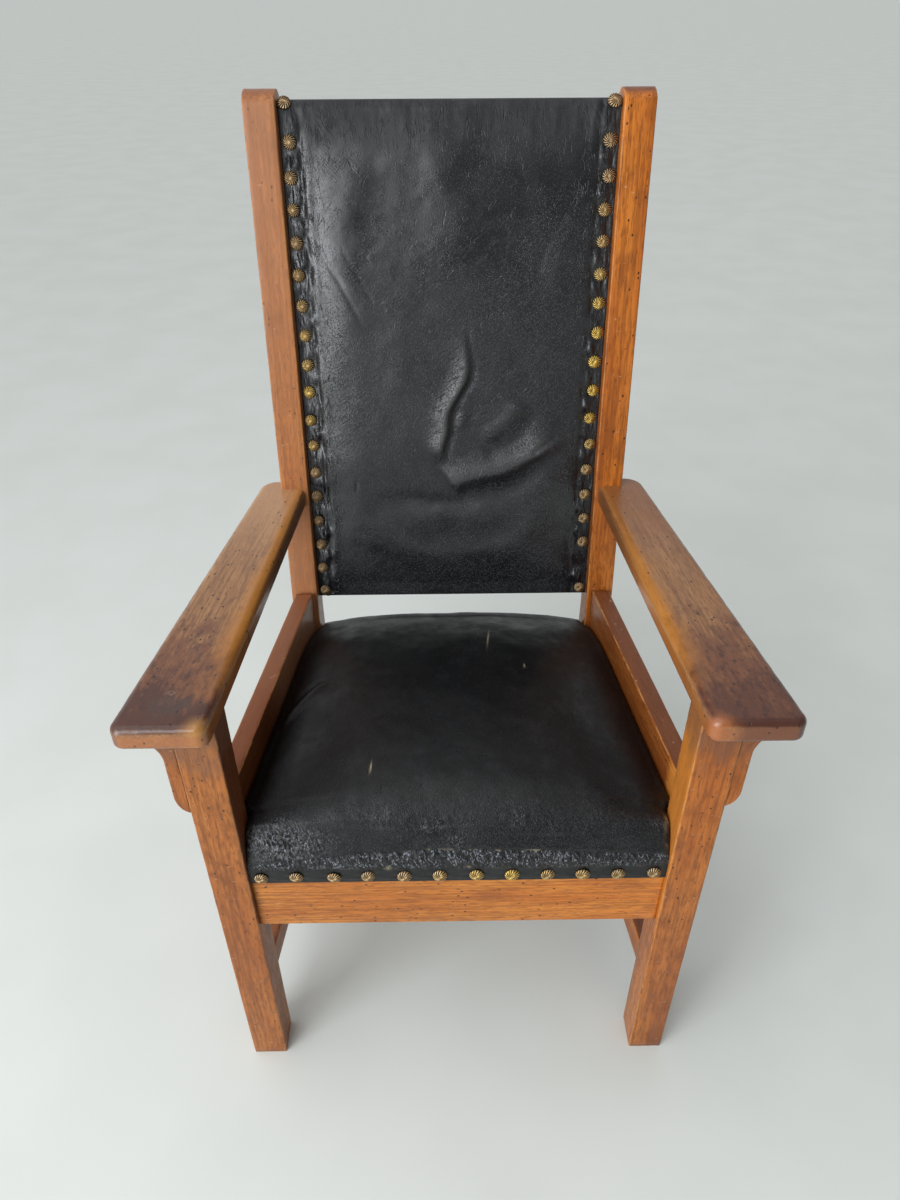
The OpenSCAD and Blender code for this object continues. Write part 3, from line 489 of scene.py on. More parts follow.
def nail_heads(name, centres, up, seed, golden, flutes=15):
    """Domed heads with swirling ribs. Height is a cap's profile, plus a wave of the turn round the head
    that winds with the distance from its middle. A flat underside closes each head. Each head stands
    square to its own upward direction."""
    draw = np.random.RandomState(seed)
    across = np.array([1.0, 0, 0])
    around, rings = 6 * flutes, 10
    share = np.concatenate([np.linspace(0.06, 1, rings), [1.0, 0.0]])[:, None]
    turn = np.linspace(0, 2 * math.pi, around, endpoint=False)
    wave = np.cos(flutes * turn + 12 * share)
    depth = smoothstep(0.08, 0.35, share) * np.where(share < 1, 1, 0.6)
    height = NAIL_H * (0.1 + 0.9 * np.sqrt(np.clip(1 - (0.97 * share) ** 2.2, 0, 1)))
    height = height + 0.5 * MM * wave * depth
    groove = np.clip(0.5 - 0.5 * wave, 0, 1) * depth
    groove[-2:] = 1
    groove[0] = 0.3
    reach = share * (1 + 0.02 * wave * smoothstep(0.6, 1, share))
    points, tones = [], []
    for centre, own_up, gold in zip(centres, np.broadcast_to(up, centres.shape), golden):
        spin, size = draw.uniform(0, 6.28), draw.uniform(0.98, 1.05)
        nod, yaw = draw.uniform(-0.1, 0.1, 2)
        a = reach * NAIL_R * size * np.cos(turn + spin)
        b = reach * NAIL_R * size * np.sin(turn + spin)
        h = height + nod * a + yaw * b
        h[-2:] = 0
        points.append(centre + a[..., None] * across + b[..., None] * own_up
                      + h[..., None] * np.cross(across, own_up))
        tones.append(np.full(groove.size, gold + draw.uniform(-0.12, 0.12)))
    first = np.arange(len(centres)) * groove.size
    faces = [np.vstack([f + k for k in first]) for f in tube_faces(rings + 2, around)]
    return piece(name, points, faces, groove=np.tile(groove.ravel(), len(centres)),
                 tone=np.concatenate(tones))


def front_nails():
    """Twelve heads along the front rail, a little out of line."""
    draw = np.random.RandomState(5)
    x = np.linspace(-FRONT_NAIL_HALF, FRONT_NAIL_HALF, FRONT_NAIL_COUNT)
    z = FRONT_NAIL_Z + draw.uniform(-1.2, 1.2, x.shape) * MM
    centres = places(x + draw.uniform(-1.5, 1.5, x.shape) * MM, BAND_Y, z)
    golden = 0.3 + 0.35 * bell(x - 60 * MM, 110 * MM)
    return nail_heads("seat_front_nail_heads", centres, np.array([0, 0, 1.0]), 11, golden)


def on_back(x, s, n):
    """Bench places from the leaning back's own measures: across, up along the posts, and rearward."""
    return places(x, BEND_Y + s * UP_BACK[1] + n * REARWARD[1], BEND_Z + s * UP_BACK[2] + n * REARWARD[2])


def back_nails(side):
    """A column of heads down one edge of the back, without the lost one."""
    draw = np.random.RandomState(20 + side)
    s = np.linspace(BACK_NAIL_TOP_S, BACK_NAIL_LOW_S, BACK_NAIL_COUNT)
    if side > 0:
        s = np.delete(s, MISSING_NAIL - 1)
    x = side * BACK_NAIL_X + draw.uniform(-1.6, 1.6, s.shape) * MM
    centres = on_back(x, s + draw.uniform(-1.5, 1.5, s.shape) * MM, BACK_N)
    ups = np.repeat(UP_BACK[None, :], len(s), 0)
    # The top head stands on the roll, turned back with it
    turn = math.radians(38)
    centres[0] = on_back(side * (BACK_NAIL_X + 2 * MM), BACK_ROLL_S + BACK_ROLL_R * math.sin(turn),
                         BACK_ROLL_N - BACK_ROLL_R * math.cos(turn))
    ups[0] = UP_BACK * math.cos(turn) + REARWARD * math.sin(turn)
    golden = 0.25 + (0.75 if side > 0 else 0.4) * bell(s - 400 * MM, 140 * MM)
    return nail_heads(f"{SIDES[side]}_back_nail_heads", centres, ups, 30 + side, golden)


# Leather


def wear(x, **given):
    """The leather's fields over a grid, from 0 to 1, and nothing where they aren't given."""
    return {name: np.clip(given.get(name, 0 * x), 0, 1) for name in LEATHER_FIELDS}


def sheet_normals(points):
    """Directions square to a grid of places, from its neighbours' differences."""
    n = np.cross(np.gradient(points, axis=0), np.gradient(points, axis=1))
    return n / np.maximum(np.linalg.norm(n, axis=-1, keepdims=True), 1e-12)


# Every few columns and loops of a grid go into its simulated copy
COARSE = 4
CLOTH_FRAMES = 20
SPARE_LEATHER = 0.012


def spread(moves, picks, count, axis):
    """Moves of a few rows laid out over all rows: straight lines between them, then smoothed by running
    means."""
    moves = np.moveaxis(moves, axis, 0)
    share = np.interp(np.arange(count), picks, np.arange(len(picks)))
    low = np.minimum(share.astype(int), len(picks) - 2)
    part = (share - low).reshape((-1,) + (1,) * (moves.ndim - 1))
    full = moves[low] * (1 - part) + moves[low + 1] * part
    for _ in range(2):
        padded = np.concatenate([full[:1]] * COARSE + [full] + [full[-1:]] * COARSE)
        total = np.cumsum(np.concatenate([0 * padded[:1], padded]), 0)
        full = (total[2 * COARSE + 1:] - total[:-2 * COARSE - 1]) / (2 * COARSE + 1)
    return np.moveaxis(full, 0, axis)


def settled(name, points, free, pressure, weight, limit):
    """A closed grid of leather after cloth simulation of its plain form.

    A copy with fewer places is pinned where it isn't free, blown up by the stuffing's pressure, hangs by a
    share of its weight, and has a little spare leather. After the last frame each move is capped by
    limit * tanh(length / limit), let go toward the held places, and spread back over the whole grid."""
    picks = [np.unique(np.append(np.arange(0, count, COARSE), count - 1)) for count in points.shape[:2]]
    start, loose = points[np.ix_(*picks)], free[np.ix_(*picks)]
    made = piece(name, start, tube_faces(*loose.shape))
    held = made.vertex_groups.new(name="held")
    pinned = np.round(1 - loose.ravel(), 1)
    for level in np.unique(pinned):
        held.add(np.flatnonzero(pinned == level).tolist(), float(level), "REPLACE")
    cloth = made.modifiers.new("leather", "CLOTH")
    settings = cloth.settings
    settings.vertex_group_mass = "held"
    settings.quality = 6
    settings.mass = 0.5
    settings.tension_stiffness = settings.compression_stiffness = 25
    settings.bending_stiffness = 1.5
    settings.use_pressure = True
    settings.uniform_pressure_force = pressure
    settings.shrink_min = settings.shrink_max = -SPARE_LEATHER
    settings.effector_weights.gravity = weight
    cloth.collision_settings.use_collision = False
    cloth.point_cache.frame_start, cloth.point_cache.frame_end = 1, CLOTH_FRAMES
    for step in range(1, CLOTH_FRAMES + 1):
        bpy.context.scene.frame_set(step)
    result = made.evaluated_get(bpy.context.evaluated_depsgraph_get()).data
    ended = np.empty(3 * len(result.vertices), np.float32)
    result.vertices.foreach_get("co", ended)
    moves = ended.astype(float).reshape(start.shape) - put_down(start)
    bpy.data.objects.remove(made)
    bpy.context.scene.frame_set(1)
    length = np.maximum(np.linalg.norm(moves, axis=-1, keepdims=True), 1e-9)
    moves = moves / length * limit * np.tanh(length / limit) * loose[..., None]
    for axis in (0, 1):
        moves = spread(moves, picks[axis], points.shape[axis], axis)
    return points + moves


def seat_middle(y):
    """Height above the deck along the seat's middle: a short nose, as the root of 1 less a power of the way
    to its crest, a slow sine rise to the crown, a parabola falling to the rear, and an elliptic rear roll."""
    crest, roll, crown_y = BAND_Y + NOSE_RUN, SEAT_BACK_Y - REAR_RUN, BAND_Y + CROWN_RUN
    rise = (CROWN - NOSE_H) * np.sin(math.pi / 2 * np.clip((y - BAND_Y) / CROWN_RUN, 0, 1))
    nose = NOSE_H * np.sqrt(np.clip(1 - np.clip((crest - y) / NOSE_RUN, 0, 1) ** 2.7, 0, 1)) + rise
    top = CROWN - (CROWN - REAR_H) * ((y - crown_y) / (roll - crown_y)) ** 2
    back = REAR_H * np.sqrt(np.clip(1 - ((y - roll) / REAR_RUN) ** 2, 0, 1))
    return np.select([y < crest, y < crown_y, y < roll], [nose, NOSE_H + rise, top], back)


def seat_half(y):
    """Half width of the seat: between the legs, between the side rails, between the posts."""
    rails = LEG_X - (y - LEG_W) * math.tan(RAIL_TURN) - RAIL_T / 2 / math.cos(RAIL_TURN)
    legs = smoothstep(LEG_W + 0.5 * MM, LEG_W + 9 * MM, y)
    posts = smoothstep(BEND_Y - 9 * MM, BEND_Y - 0.5 * MM, y)
    return LEG_IN + (rails - LEG_IN) * legs + (POST_IN - rails) * posts * legs - SEAT_GAP


def seat_cushion():
    """The leather seat as one closed form. Loops run from the nailed band over the nose, the crown and
    the rear roll, and back below; they are carried across from one side to the other. Across, the
    crown falls by a power of the share from the middle, rounds over and is tucked down the sides."""
    edge_h, tuck_h, under_h = 56 * MM, 3.4 * MM, 3.2 * MM
    roll = SEAT_BACK_Y - REAR_RUN
    nose_turn = np.linspace(0, math.pi / 2, 66)
    rear_turn = np.linspace(0, math.pi / 2, 30)[1:]
    y = np.concatenate([BAND_Y + NOSE_RUN * (1 - np.cos(nose_turn)),
                        np.linspace(BAND_Y + NOSE_RUN, roll, 124)[1:], roll + REAR_RUN * np.sin(rear_turn)])
    middle, half = seat_middle(y), seat_half(y)
    # The height where the crown rounds over: lower behind the legs, and following the rear roll
    behind = smoothstep(LEG_W - 16 * MM, LEG_W + 22 * MM, y)
    late = smoothstep(roll - 130 * MM, SEAT_BACK_Y - 20 * MM, y)
    edge = np.minimum.reduce([0.9 * middle * (1 - behind) + edge_h * behind,
                              edge_h * (1 - late) + 0.62 * middle * late, middle * 0.97])
    # Across: shares of the dome, the quarter-round over the edge, the drop down the side
    dome = np.linspace(0, 1, 168)[:, None] ** 0.9
    turn = np.linspace(0, math.pi / 2, 10)[1:, None]
    drop = np.linspace(0, 1, 12)[1:, None]
    edge_r = np.minimum(13 * MM, 0.5 * np.maximum(edge - tuck_h, 0.2 * MM))
    wall_top = edge - edge_r
    x = np.vstack([dome * (half - edge_r), half - edge_r * (1 - np.sin(turn)), half + 0 * drop])
    h = np.vstack([edge + (middle - edge) * (1 - dome ** 2.6), edge - edge_r * (1 - np.cos(turn)),
                   wall_top + (np.minimum(tuck_h, wall_top) - wall_top) * drop])
    x, h = np.vstack([-x[:0:-1], x]), np.maximum(np.vstack([h[:0:-1], h]), 0)
    # Nailed bands, front and rear, as more places on each loop
    front_band = np.linspace(-BAND_DROP, 0, 15)[:-1] + 0 * x[:, :1]
    rear_band = np.linspace(0, -BAND_DROP, 8)[1:] + 0 * x[:, :1]
    widen = (LEG_IN - SEAT_GAP) / x[-1, 0]
    x = np.hstack([x[:, :1] * widen + 0 * front_band, x, x[:, -1:] + 0 * rear_band])
    h = np.hstack([front_band, h, rear_band])
    loop_y = np.concatenate([BAND_Y + 0 * front_band[0], y, SEAT_BACK_Y + 0 * rear_band[0]])
    points = places(x, loop_y, DECK_Z - loop_y * FALL + h)
    path = lengths(points[len(x) // 2])
    v = path - path[front_band.shape[1]] + 0 * x
    share = np.abs(x / x[-1])
    lift, fields = seat_relief(x, v, share)
    points = points + sheet_normals(points) * lift[..., None]
    at_y = points[..., 1]
    loose = until(0.86, 0.98, share) * smoothstep(2 * MM, 22 * MM, v) * until(
        BEND_Y - 60 * MM, BEND_Y - 10 * MM, at_y)
    limit = np.where(at_y < LEG_W, LEG_IN - SEAT_GAP, np.interp(at_y, y, half))
    points[..., 0] = np.clip(points[..., 0], -limit, limit)
    # Underside: inside the rear band, below on the hessian, inside the front band
    rear_y, front_y, low = SEAT_BACK_Y - LEATHER_T, BAND_Y + LEATHER_T, DECK_Z - BAND_DROP
    crown_loop = 120
    across = x[:, crown_loop] / x[-1, crown_loop]
    under = [places(points[:, -1, 0], rear_y, low - SEAT_BACK_Y * FALL)]
    for under_y in np.linspace(rear_y, front_y, 9):
        under.append(places(across * np.interp(under_y, y, half), under_y,
                            DECK_Z - under_y * FALL + under_h))
    under.append(places(points[:, 0, 0], front_y, low))
    under = np.stack(under, 1)
    bare = np.zeros(under.shape[:2])
    points = settled("seat_leather_draft", np.hstack([points, under]), np.hstack([loose, bare]),
                     3.5, 0.0, 5 * MM)
    lay = np.hstack([places(x, v, 0), places(under[..., 0], 2 + under[..., 1], 0)])
    fields = {name: np.hstack([values, bare]) for name, values in fields.items()}
    return piece("seat_cushion", points, tube_faces(*points.shape[:2]), lay=lay, **fields)


# Pale scratches on the seat: across, over the leather from the deck line, and how long, in millimetres
SCRATCHES = (-103, 133, 7), (50, 400, 24), (95, 318, 4)
# Paths on the seat, measured likewise
FRONT_LINE = (-246, 10), (-190, 15), (-120, 22), (-40, 27), (40, 27), (120, 24), (190, 20), (246, 18)
# Folds with their paths, widths, heights and leans: two at the left side, from the leg back toward the
# middle, and soft creases
SEAT_FOLDS = [
    ([(-246, 215), (-235, 232), (-222, 254), (-199, 281), (-169, 311)], 7, 3.4, 0.5),
    ([(-240, 300), (-226, 330), (-212, 380)], 5, 1.8),
    ([(-150, 64), (-60, 56), (40, 62)], 2.6, -0.8),
    ([(30, 48), (110, 42), (190, 50)], 2.6, -0.8),
]


def seat_relief(x, v, half_share):
    """Height of the seat's wrinkles over its plain form, and its wear and painted highlights. v runs over the
    leather from the deck line at the front. Inside, lengths are in millimetres."""
    x, v = x / MM, v / MM
    row_half, nail_v = FRONT_NAIL_HALF / MM, (FRONT_NAIL_Z - DECK_Z) / MM
    pitch = 2 * row_half / (FRONT_NAIL_COUNT - 1)
    free = smoothstep(-5, 3, v)
    lift = free * (1.6 * clouds(x, v, 120, 71) + 0.5 * clouds(x, v, 34, 75))
    # Pulls between the nails, and the strip of crimped leather under the front line
    pull = np.cos(2 * math.pi * (x + row_half) / pitch)
    lift = lift + free * bell(v - 10, 12) * (2.6 - 0.9 * pull)
    line, _ = off_path(x, v + 1.2 * cloud(x, 0 * x, 14, 79), FRONT_LINE)
    above = smoothstep(-2, 2, line)
    strip = (1 - above) * smoothstep(-3, 4, v)
    crimp = ridges(x + 0.25 * v, 0.35 * v, 3.4, 83)
    lift = lift + strip * (1.8 * (crimp - 0.6) - 0.8)
    lift = lift + free * (bell(line - 5, 4) - 1.8 * bell(line, 1.7))
    # Wrinkles over the nose, crackled at its left corner
    corner = bell(np.hypot((x + 208 + 0.3 * (v - 38)) / 1.35, v - 38), 25) * above
    crackle = ridges(x + 0.55 * v, 0.5 * v - 0.2 * x, 3.6, 87)
    net = ridges(x + 0.3 * v, 0.7 * v - 0.2 * x, 5.5, 91)
    nose = bell(v - 45, 34) * above * smoothstep(-0.7, 0.5, cloud(x, v, 50, 89))
    lift = lift + (crackle - 0.6) * (0.6 * nose + 2.0 * corner)
    # Puckers round the front nails
    nearest = np.clip(np.round((x + row_half) / pitch), 0, FRONT_NAIL_COUNT - 1)
    nail_x = x + row_half - nearest * pitch
    to_nail = np.hypot(nail_x, v - nail_v)
    ray = np.cos(7 * np.arctan2(v - nail_v, nail_x))
    dimple = 1 - bell(to_nail, 11) + 0.25 * ray * bell(to_nail - 11, 5)
    lift = lift + (1 - free) * dimple * np.where(v < -20, 0.3, 1)
    for path, *shape in SEAT_FOLDS:
        lift = lift + fold(x, v, path, *shape)
    lift = lift * until(0.9, 1.0, half_share) * until(550, 600, v)
    # Pale wear: along the front line, at the right leg, in spots and in scratches
    along_line = smoothstep(-55, -35, x) * until(100, 125, x)
    worn = 0.8 * free * bell(line - 1, 0.8) * along_line * smoothstep(0.15, 0.5, cloud(x, 0 * v, 8, 97))
    worn = worn + 0.8 * bell(x - 243, 3) * bell(v - 62, 20) * smoothstep(-0.3, 0.4, cloud(x, v, 7, 98))
    worn = worn + 0.5 * (bell(np.hypot(x + 82, v - 1), 3) + bell(np.hypot(x - 12, v - 1), 2))
    for across, along, long in SCRATCHES:
        worn = worn + 0.8 * bell(x - across - 0.1 * (v - along), 0.8) * bell(v - along, long)
    # Painted highlights on the crackle's ridges at the left corner, on the crimps' crests and on the nose's
    # net, partly pale wear
    dust = 0.9 * smoothstep(0.5, 0.85, crackle) * corner + 0.25 * strip * smoothstep(0.6, 0.95, crimp)
    return lift * MM, wear(
        x, worn=worn, pebbled=free * (0.12 + 0.4 * bell(v - 30, 60) - 0.5 * corner),
        dust=dust + 0.2 * nose * smoothstep(0.75, 1.0, net), cracks=0.2 * strip, slant=0.6 * nose,
        crimp=strip + 1.2 * corner + 0.4 * nose * smoothstep(-0.2, 0.5, cloud(x, v, 16, 99)))


def back_cushion():
    """The leather back as one closed form. Loops run up the front, over the top roll, down the rear and
    under the lower edge; they are carried across. The front swells by powers of the shares across and up."""
    face_s = np.linspace(BACK_LOW_S + 2 * MM, BACK_ROLL_S, 330)
    roll = np.linspace(0, math.pi, 22)[1:]
    step_back = BACK_REAR_N - BACK_ROLL_N - BACK_ROLL_R
    rear_s = np.linspace(BACK_ROLL_S, BACK_LOW_S, 20)[1:]
    s = np.concatenate([face_s, BACK_ROLL_S + BACK_ROLL_R * np.sin(roll), rear_s, [BACK_LOW_S] * 2])
    roll_n = BACK_ROLL_N - BACK_ROLL_R * np.cos(roll) + step_back * roll / math.pi
    n = np.concatenate([BACK_N + 0 * face_s, roll_n, BACK_REAR_N + 0 * rear_s,
                        [BACK_N + 9 * MM, BACK_N + 2 * MM]])
    share = np.sin(np.linspace(-1, 1, 241) * math.pi / 2)[:, None]
    share = np.sign(share) * np.abs(share) ** 0.92
    across = np.abs(share)
    x = share * BACK_HALF + 0 * s
    v = lengths(np.stack([s, n], -1)) + BACK_LOW_S + 2 * MM + 0 * x
    # The relief goes on over the roll's first twelve loops
    loop = np.arange(len(s))
    is_front, is_face = loop < len(face_s), loop < len(face_s) + 12
    # The swell's middle up the back, and how far from there it dies
    mid, reach = 377.49 * MM, 0.965 * 328.5 * MM
    swell = (1 - np.minimum(1, across / 0.92) ** 3.8) * (1 - np.minimum(1, np.abs(s - mid) / reach) ** 4)
    relief, fields = back_relief(x, v)
    relief = relief * until(0.985, 1.0, across) * until(BACK_ROLL_S + 6 * MM, BACK_ROLL_S + 16 * MM, v)
    out = 20 * MM * swell * is_front + relief * is_face
    low, high = BACK_LOW_S + 20 * MM, BACK_ROLL_S - 15 * MM
    loose = is_front * until(90 * MM, 182 * MM, np.abs(x)) * smoothstep(low, low + 70 * MM, s) * until(
        high - 95 * MM, high, s)
    # The face is moved forward, and the roll outwards from its middle
    n, s = (n + np.where(is_front, -1.0, (n - BACK_ROLL_N) / BACK_ROLL_R) * out,
            s + np.where(is_front, 0.0, np.clip((s - BACK_ROLL_S) / BACK_ROLL_R, 0, 1)) * out)
    # The front comes back a little at the two sides
    thin = 1 - 0.12 * smoothstep(0.99, 1.0, across)
    n = np.where(is_front, BACK_REAR_N + (n - BACK_REAR_N) * thin, n)
    points = settled("back_leather_draft", on_back(x, s, n), loose, 1.2, 0.6, 3 * MM)
    return piece("back_cushion", points, tube_faces(*x.shape), lay=places(x, v, 0), **fields)


# Paths on the back: across, and up along the posts, in millimetres
FOLD_LONG = ((23, 455), (23, 415), (21, 381), (12, 361), (1, 344), (-4, 326), (-9, 297), (-13, 274),
             (-14, 252))
FOLD_LOW = (-4, 224), (8, 232), (24, 238), (48, 244), (84, 254), (113, 267), (143, 288), (160, 306)
LATTICE = (-166, 690), (-140, 655), (-100, 605), (-40, 540)
SAG_LINE = (-130, 206), (-77, 206), (-37, 203), (13, 196), (50, 206), (97, 224), (140, 248), (162, 276)
LOWER_BULGE = (-120, 182), (-72, 178), (-2, 176), (73, 182), (122, 201)
# Soft folds with their paths, widths and heights
BACK_FOLDS = [
    ([(-178, 562), (-152, 511), (-114, 440)], 3.5, -0.7),
    ([(-162, 560), (-136, 506), (-88, 430)], 14, 0.2),
    ([(-146, 560), (-124, 514), (-96, 468)], 2.5, -0.35),
    ([(172, 622), (148, 552), (127, 484)], 6, 1.1),
    ([(150, 596), (122, 542), (108, 500)], 5, -0.9),
    ([(-24, 720), (-14, 650), (4, 575), (8, 480)], 46, 4.4),
    ([(-120, 180), (-60, 120), (20, 90)], 16, 1.2),
    ([(60, 150), (110, 110), (160, 70)], 12, 1.1),
    ([(46, 294), (70, 310), (90, 332), (98, 352)], 13, 3.6),
    ([(40, 272), (76, 284), (104, 310), (114, 336)], 12, -2.0),
    ([(108, 268), (128, 283), (152, 300)], 4, -2.4),
]
CUT = (-135, 236), (-139, 212)


def back_relief(x, v):
    """Height of the back's folds, nail puckers and waves over its plain swelling, and its wear and painted
    sheen. Inside, lengths are in millimetres."""
    x, v, roll_s = x / MM, v / MM, BACK_ROLL_S / MM
    pitch = BACK_NAIL_PITCH / MM
    side = np.abs(x)
    # The paths are met by places that wander a little, so that no fold is even
    wx = x + 3.5 * clouds(x, v, 45, 131, 2)
    wv = v + 3.5 * clouds(x, v, 45, 137, 2)
    inner = until(150, 186, side)
    lift = inner * (1.3 * clouds(x, v, 110, 31) + 0.4 * clouds(x, v, 30, 35))
    # The long fold rises gently from the left and drops steeply on its right, below a thin crease
    signed, along = off_path(wx, wv, FOLD_LONG)
    ends = smoothstep(0.05, 0.45, along) * smoothstep(0, 0.16, 1 - along)
    rise = bell(signed, np.where(signed < 0, 17, 4))
    sink = bell(signed - 7, 5.5) + 0.4 * bell(signed - 24, 18)
    lift = lift + ends * (8.8 * rise - 2.6 * sink)
    # Painted highlight on the long fold's lit left slope
    rub_and_highlight = 0.4 * ends * bell(signed + 6, 7)
    lift = lift - 1.5 * fading(along, 0.12, 0.1) * bell(signed - 3, 2.6)
    # The low fold leans over: a long slope above its crest, a steep one below, an abrupt left end
    signed, along = off_path(wx, wv, FOLD_LOW)
    ends = fading(along, 0.05, 0.3)
    rise = bell(signed, np.where(signed > 0, 22, 11))
    lift = lift + ends * (9.5 * rise - 2.0 * bell(signed + 20, 12))
    # Painted highlight on the low fold's lit upper slope
    rub_and_highlight = rub_and_highlight + 0.3 * ends * bell(signed - 6, 11)
    # The sag under it and the bulge below
    signed, along = off_path(wx, wv, SAG_LINE)
    lift = lift - fading(along, 0.35, 0.3) * (3.0 * bell(signed, 13) + 1.2 * bell(signed, 30))
    signed, along = off_path(wx, wv, LOWER_BULGE)
    lift = lift + 3.0 * fading(along, 0.4, 0.4) * bell(signed, 22)
    lift = lift + 2.4 * bell(np.hypot(wx - 18, wv - 322), 8) + fold(x, v, CUT, 1.5, -1.4)
    for path, width, height in BACK_FOLDS:
        lift = lift + fold(wx, wv, path, width, height)
    # Between the nails the leather rises in small pleats
    down = BACK_NAIL_TOP_S / MM - v
    to_nail = np.hypot(side - BACK_NAIL_X / MM, off_row(down, pitch))
    pleat = 0.5 - 0.5 * np.cos(2 * math.pi * down / pitch)
    uneven = 1 + 0.7 * cloud(x * 0.3, v, 26, 49)
    lift = lift + smoothstep(160, 184, side) * (
        3.8 * uneven * pleat * bell(side - 193 + 5 * pleat, 7) - bell(to_nail, 9))
    crumple = clouds(x * 3.2, v, 17, 47)
    lift = lift + 1.3 * crumple * bell(side - 194, 13) * (1 - bell(to_nail, 7))
    seam = side - 183 + 2.5 * cloud(0 * x, v, 40, 51)
    lift = lift - 1.2 * bell(seam, 3) + 0.8 * bell(seam + 8, 6)
    upper = smoothstep(roll_s - 45, roll_s - 8, v)
    lift = lift + upper * 0.7 * clouds(x * 1.8, v * 0.5, 18, 55)
    # The grain is plainer toward the top left, where a lattice runs out along a slant toward the middle
    upward = smoothstep(440, 560, v + 60 * cloud(x, v, 80, 58) - 0.25 * x)
    band, along = off_path(x, v, LATTICE)
    hatch = bell(band, 20) * (1 - 0.75 * smoothstep(0.2, 0.7, along))
    hatch = hatch * smoothstep(-0.5, 0.2, cloud(x, v, 24, 67))
    slant = smoothstep(-0.1, 0.6, cloud(x, v, 55, 65) + x / 400)
    slant = slant * smoothstep(250, 330, v) * until(520, 600, v)
    # The lower part is painted lighter, as the floor's reflection
    low_painted_sheen = 0.13 * bell(v - 150, 80) * smoothstep(-1.2, 0.8, clouds(x, v, 50, 69))
    return lift * MM, wear(
        x, pebbled=(1 - 0.85 * upward) * inner + 0.2 * (1 - inner), dust=(low_painted_sheen + rub_and_highlight) * inner,
        hatch=hatch * inner, cracks=smoothstep(630, 685, v + 14 * cloud(x, v, 30, 60)), slant=slant * inner,
        strip=bell(side - 178, 18))


def rear_cover():
    """The leather sheet behind the back: a thin closed slab whose rear face is drawn in at its tacks, nine
    up each side and six across each end."""
    low, high, half, tack_in = COVER_LOW_S, COVER_HIGH_S, BACK_HALF - 0.2 * MM, 9 * MM
    x, s = np.meshgrid(np.linspace(-half, half, 90), np.linspace(low, high, 140), indexing="ij")
    to_side, to_end = half - np.abs(x), np.minimum(s - low, high - s)
    side_tack = np.hypot(to_side - tack_in, off_row(s - low - tack_in, (high - low - 2 * tack_in) / 8))
    end_tack = np.hypot(off_row(x + half - tack_in, 2 * (half - tack_in) / 5), to_end - tack_in)
    tack, edge = np.minimum(side_tack, end_tack), np.minimum(to_side, to_end)
    lift = (1.2 * MM * smoothstep(0, 30 * MM, edge) * (1 - bell(tack, 16 * MM))
            + 0.5 * MM * clouds(x, s, 60 * MM, 133) * smoothstep(0, 20 * MM, edge)) * (1 - bell(tack, 6 * MM))
    points = np.hstack([on_back(x, s, COVER_N)[:, ::-1], on_back(x, s, COVER_N + 1.6 * MM + lift)])
    lay = places(x, s, 0)
    lay = np.hstack([lay[:, ::-1], lay])
    return piece("rear_cover_leather", points, tube_faces(*points.shape[:2]), lay=lay,
                 **wear(lay[..., 0], pebbled=0.5 + 0 * lay[..., 0]))


# Materials


def tone(red, green, blue):
    """A colour from its screen values, 0 to 255."""
    return tuple(((v / 255 + 0.055) / 1.055) ** 2.4 if v > 10 else v / 255 / 12.92
                 for v in (red, green, blue))


class Field:
    """A number that varies over a surface. Arithmetic with it adds Math nodes to its finish."""

    def __init__(self, finish, socket):
        self.finish, self.socket = finish, socket

    def math(self, operation, *values):
        return self.finish.node("ShaderNodeMath", {"operation": operation}, dict(enumerate((self,) + values)))

    def __add__(self, other):
        return self.math("ADD", other)

    def __mul__(self, other):
        return self.math("MULTIPLY", other)

    def __sub__(self, other):
        return self.math("SUBTRACT", other)

    def __rsub__(self, other):
        return self.math("MULTIPLY_ADD", -1.0, other)

    __radd__, __rmul__ = __add__, __mul__

    def most(self, other):
        return self.math("MAXIMUM", other)

    def ramp(self, low, high, start=0.0, end=1.0):
        """start below low, end above high, and a smooth step between."""
        return self.finish.node("ShaderNodeMapRange", {"interpolation_type": "SMOOTHSTEP"},
                                {0: self, 1: low, 2: high, 3: start, 4: end})

    def fall(self, low, high, start=1.0):
        """start below low, nothing above high, and a smooth step between."""
        return self.ramp(low, high, start, 0.0)


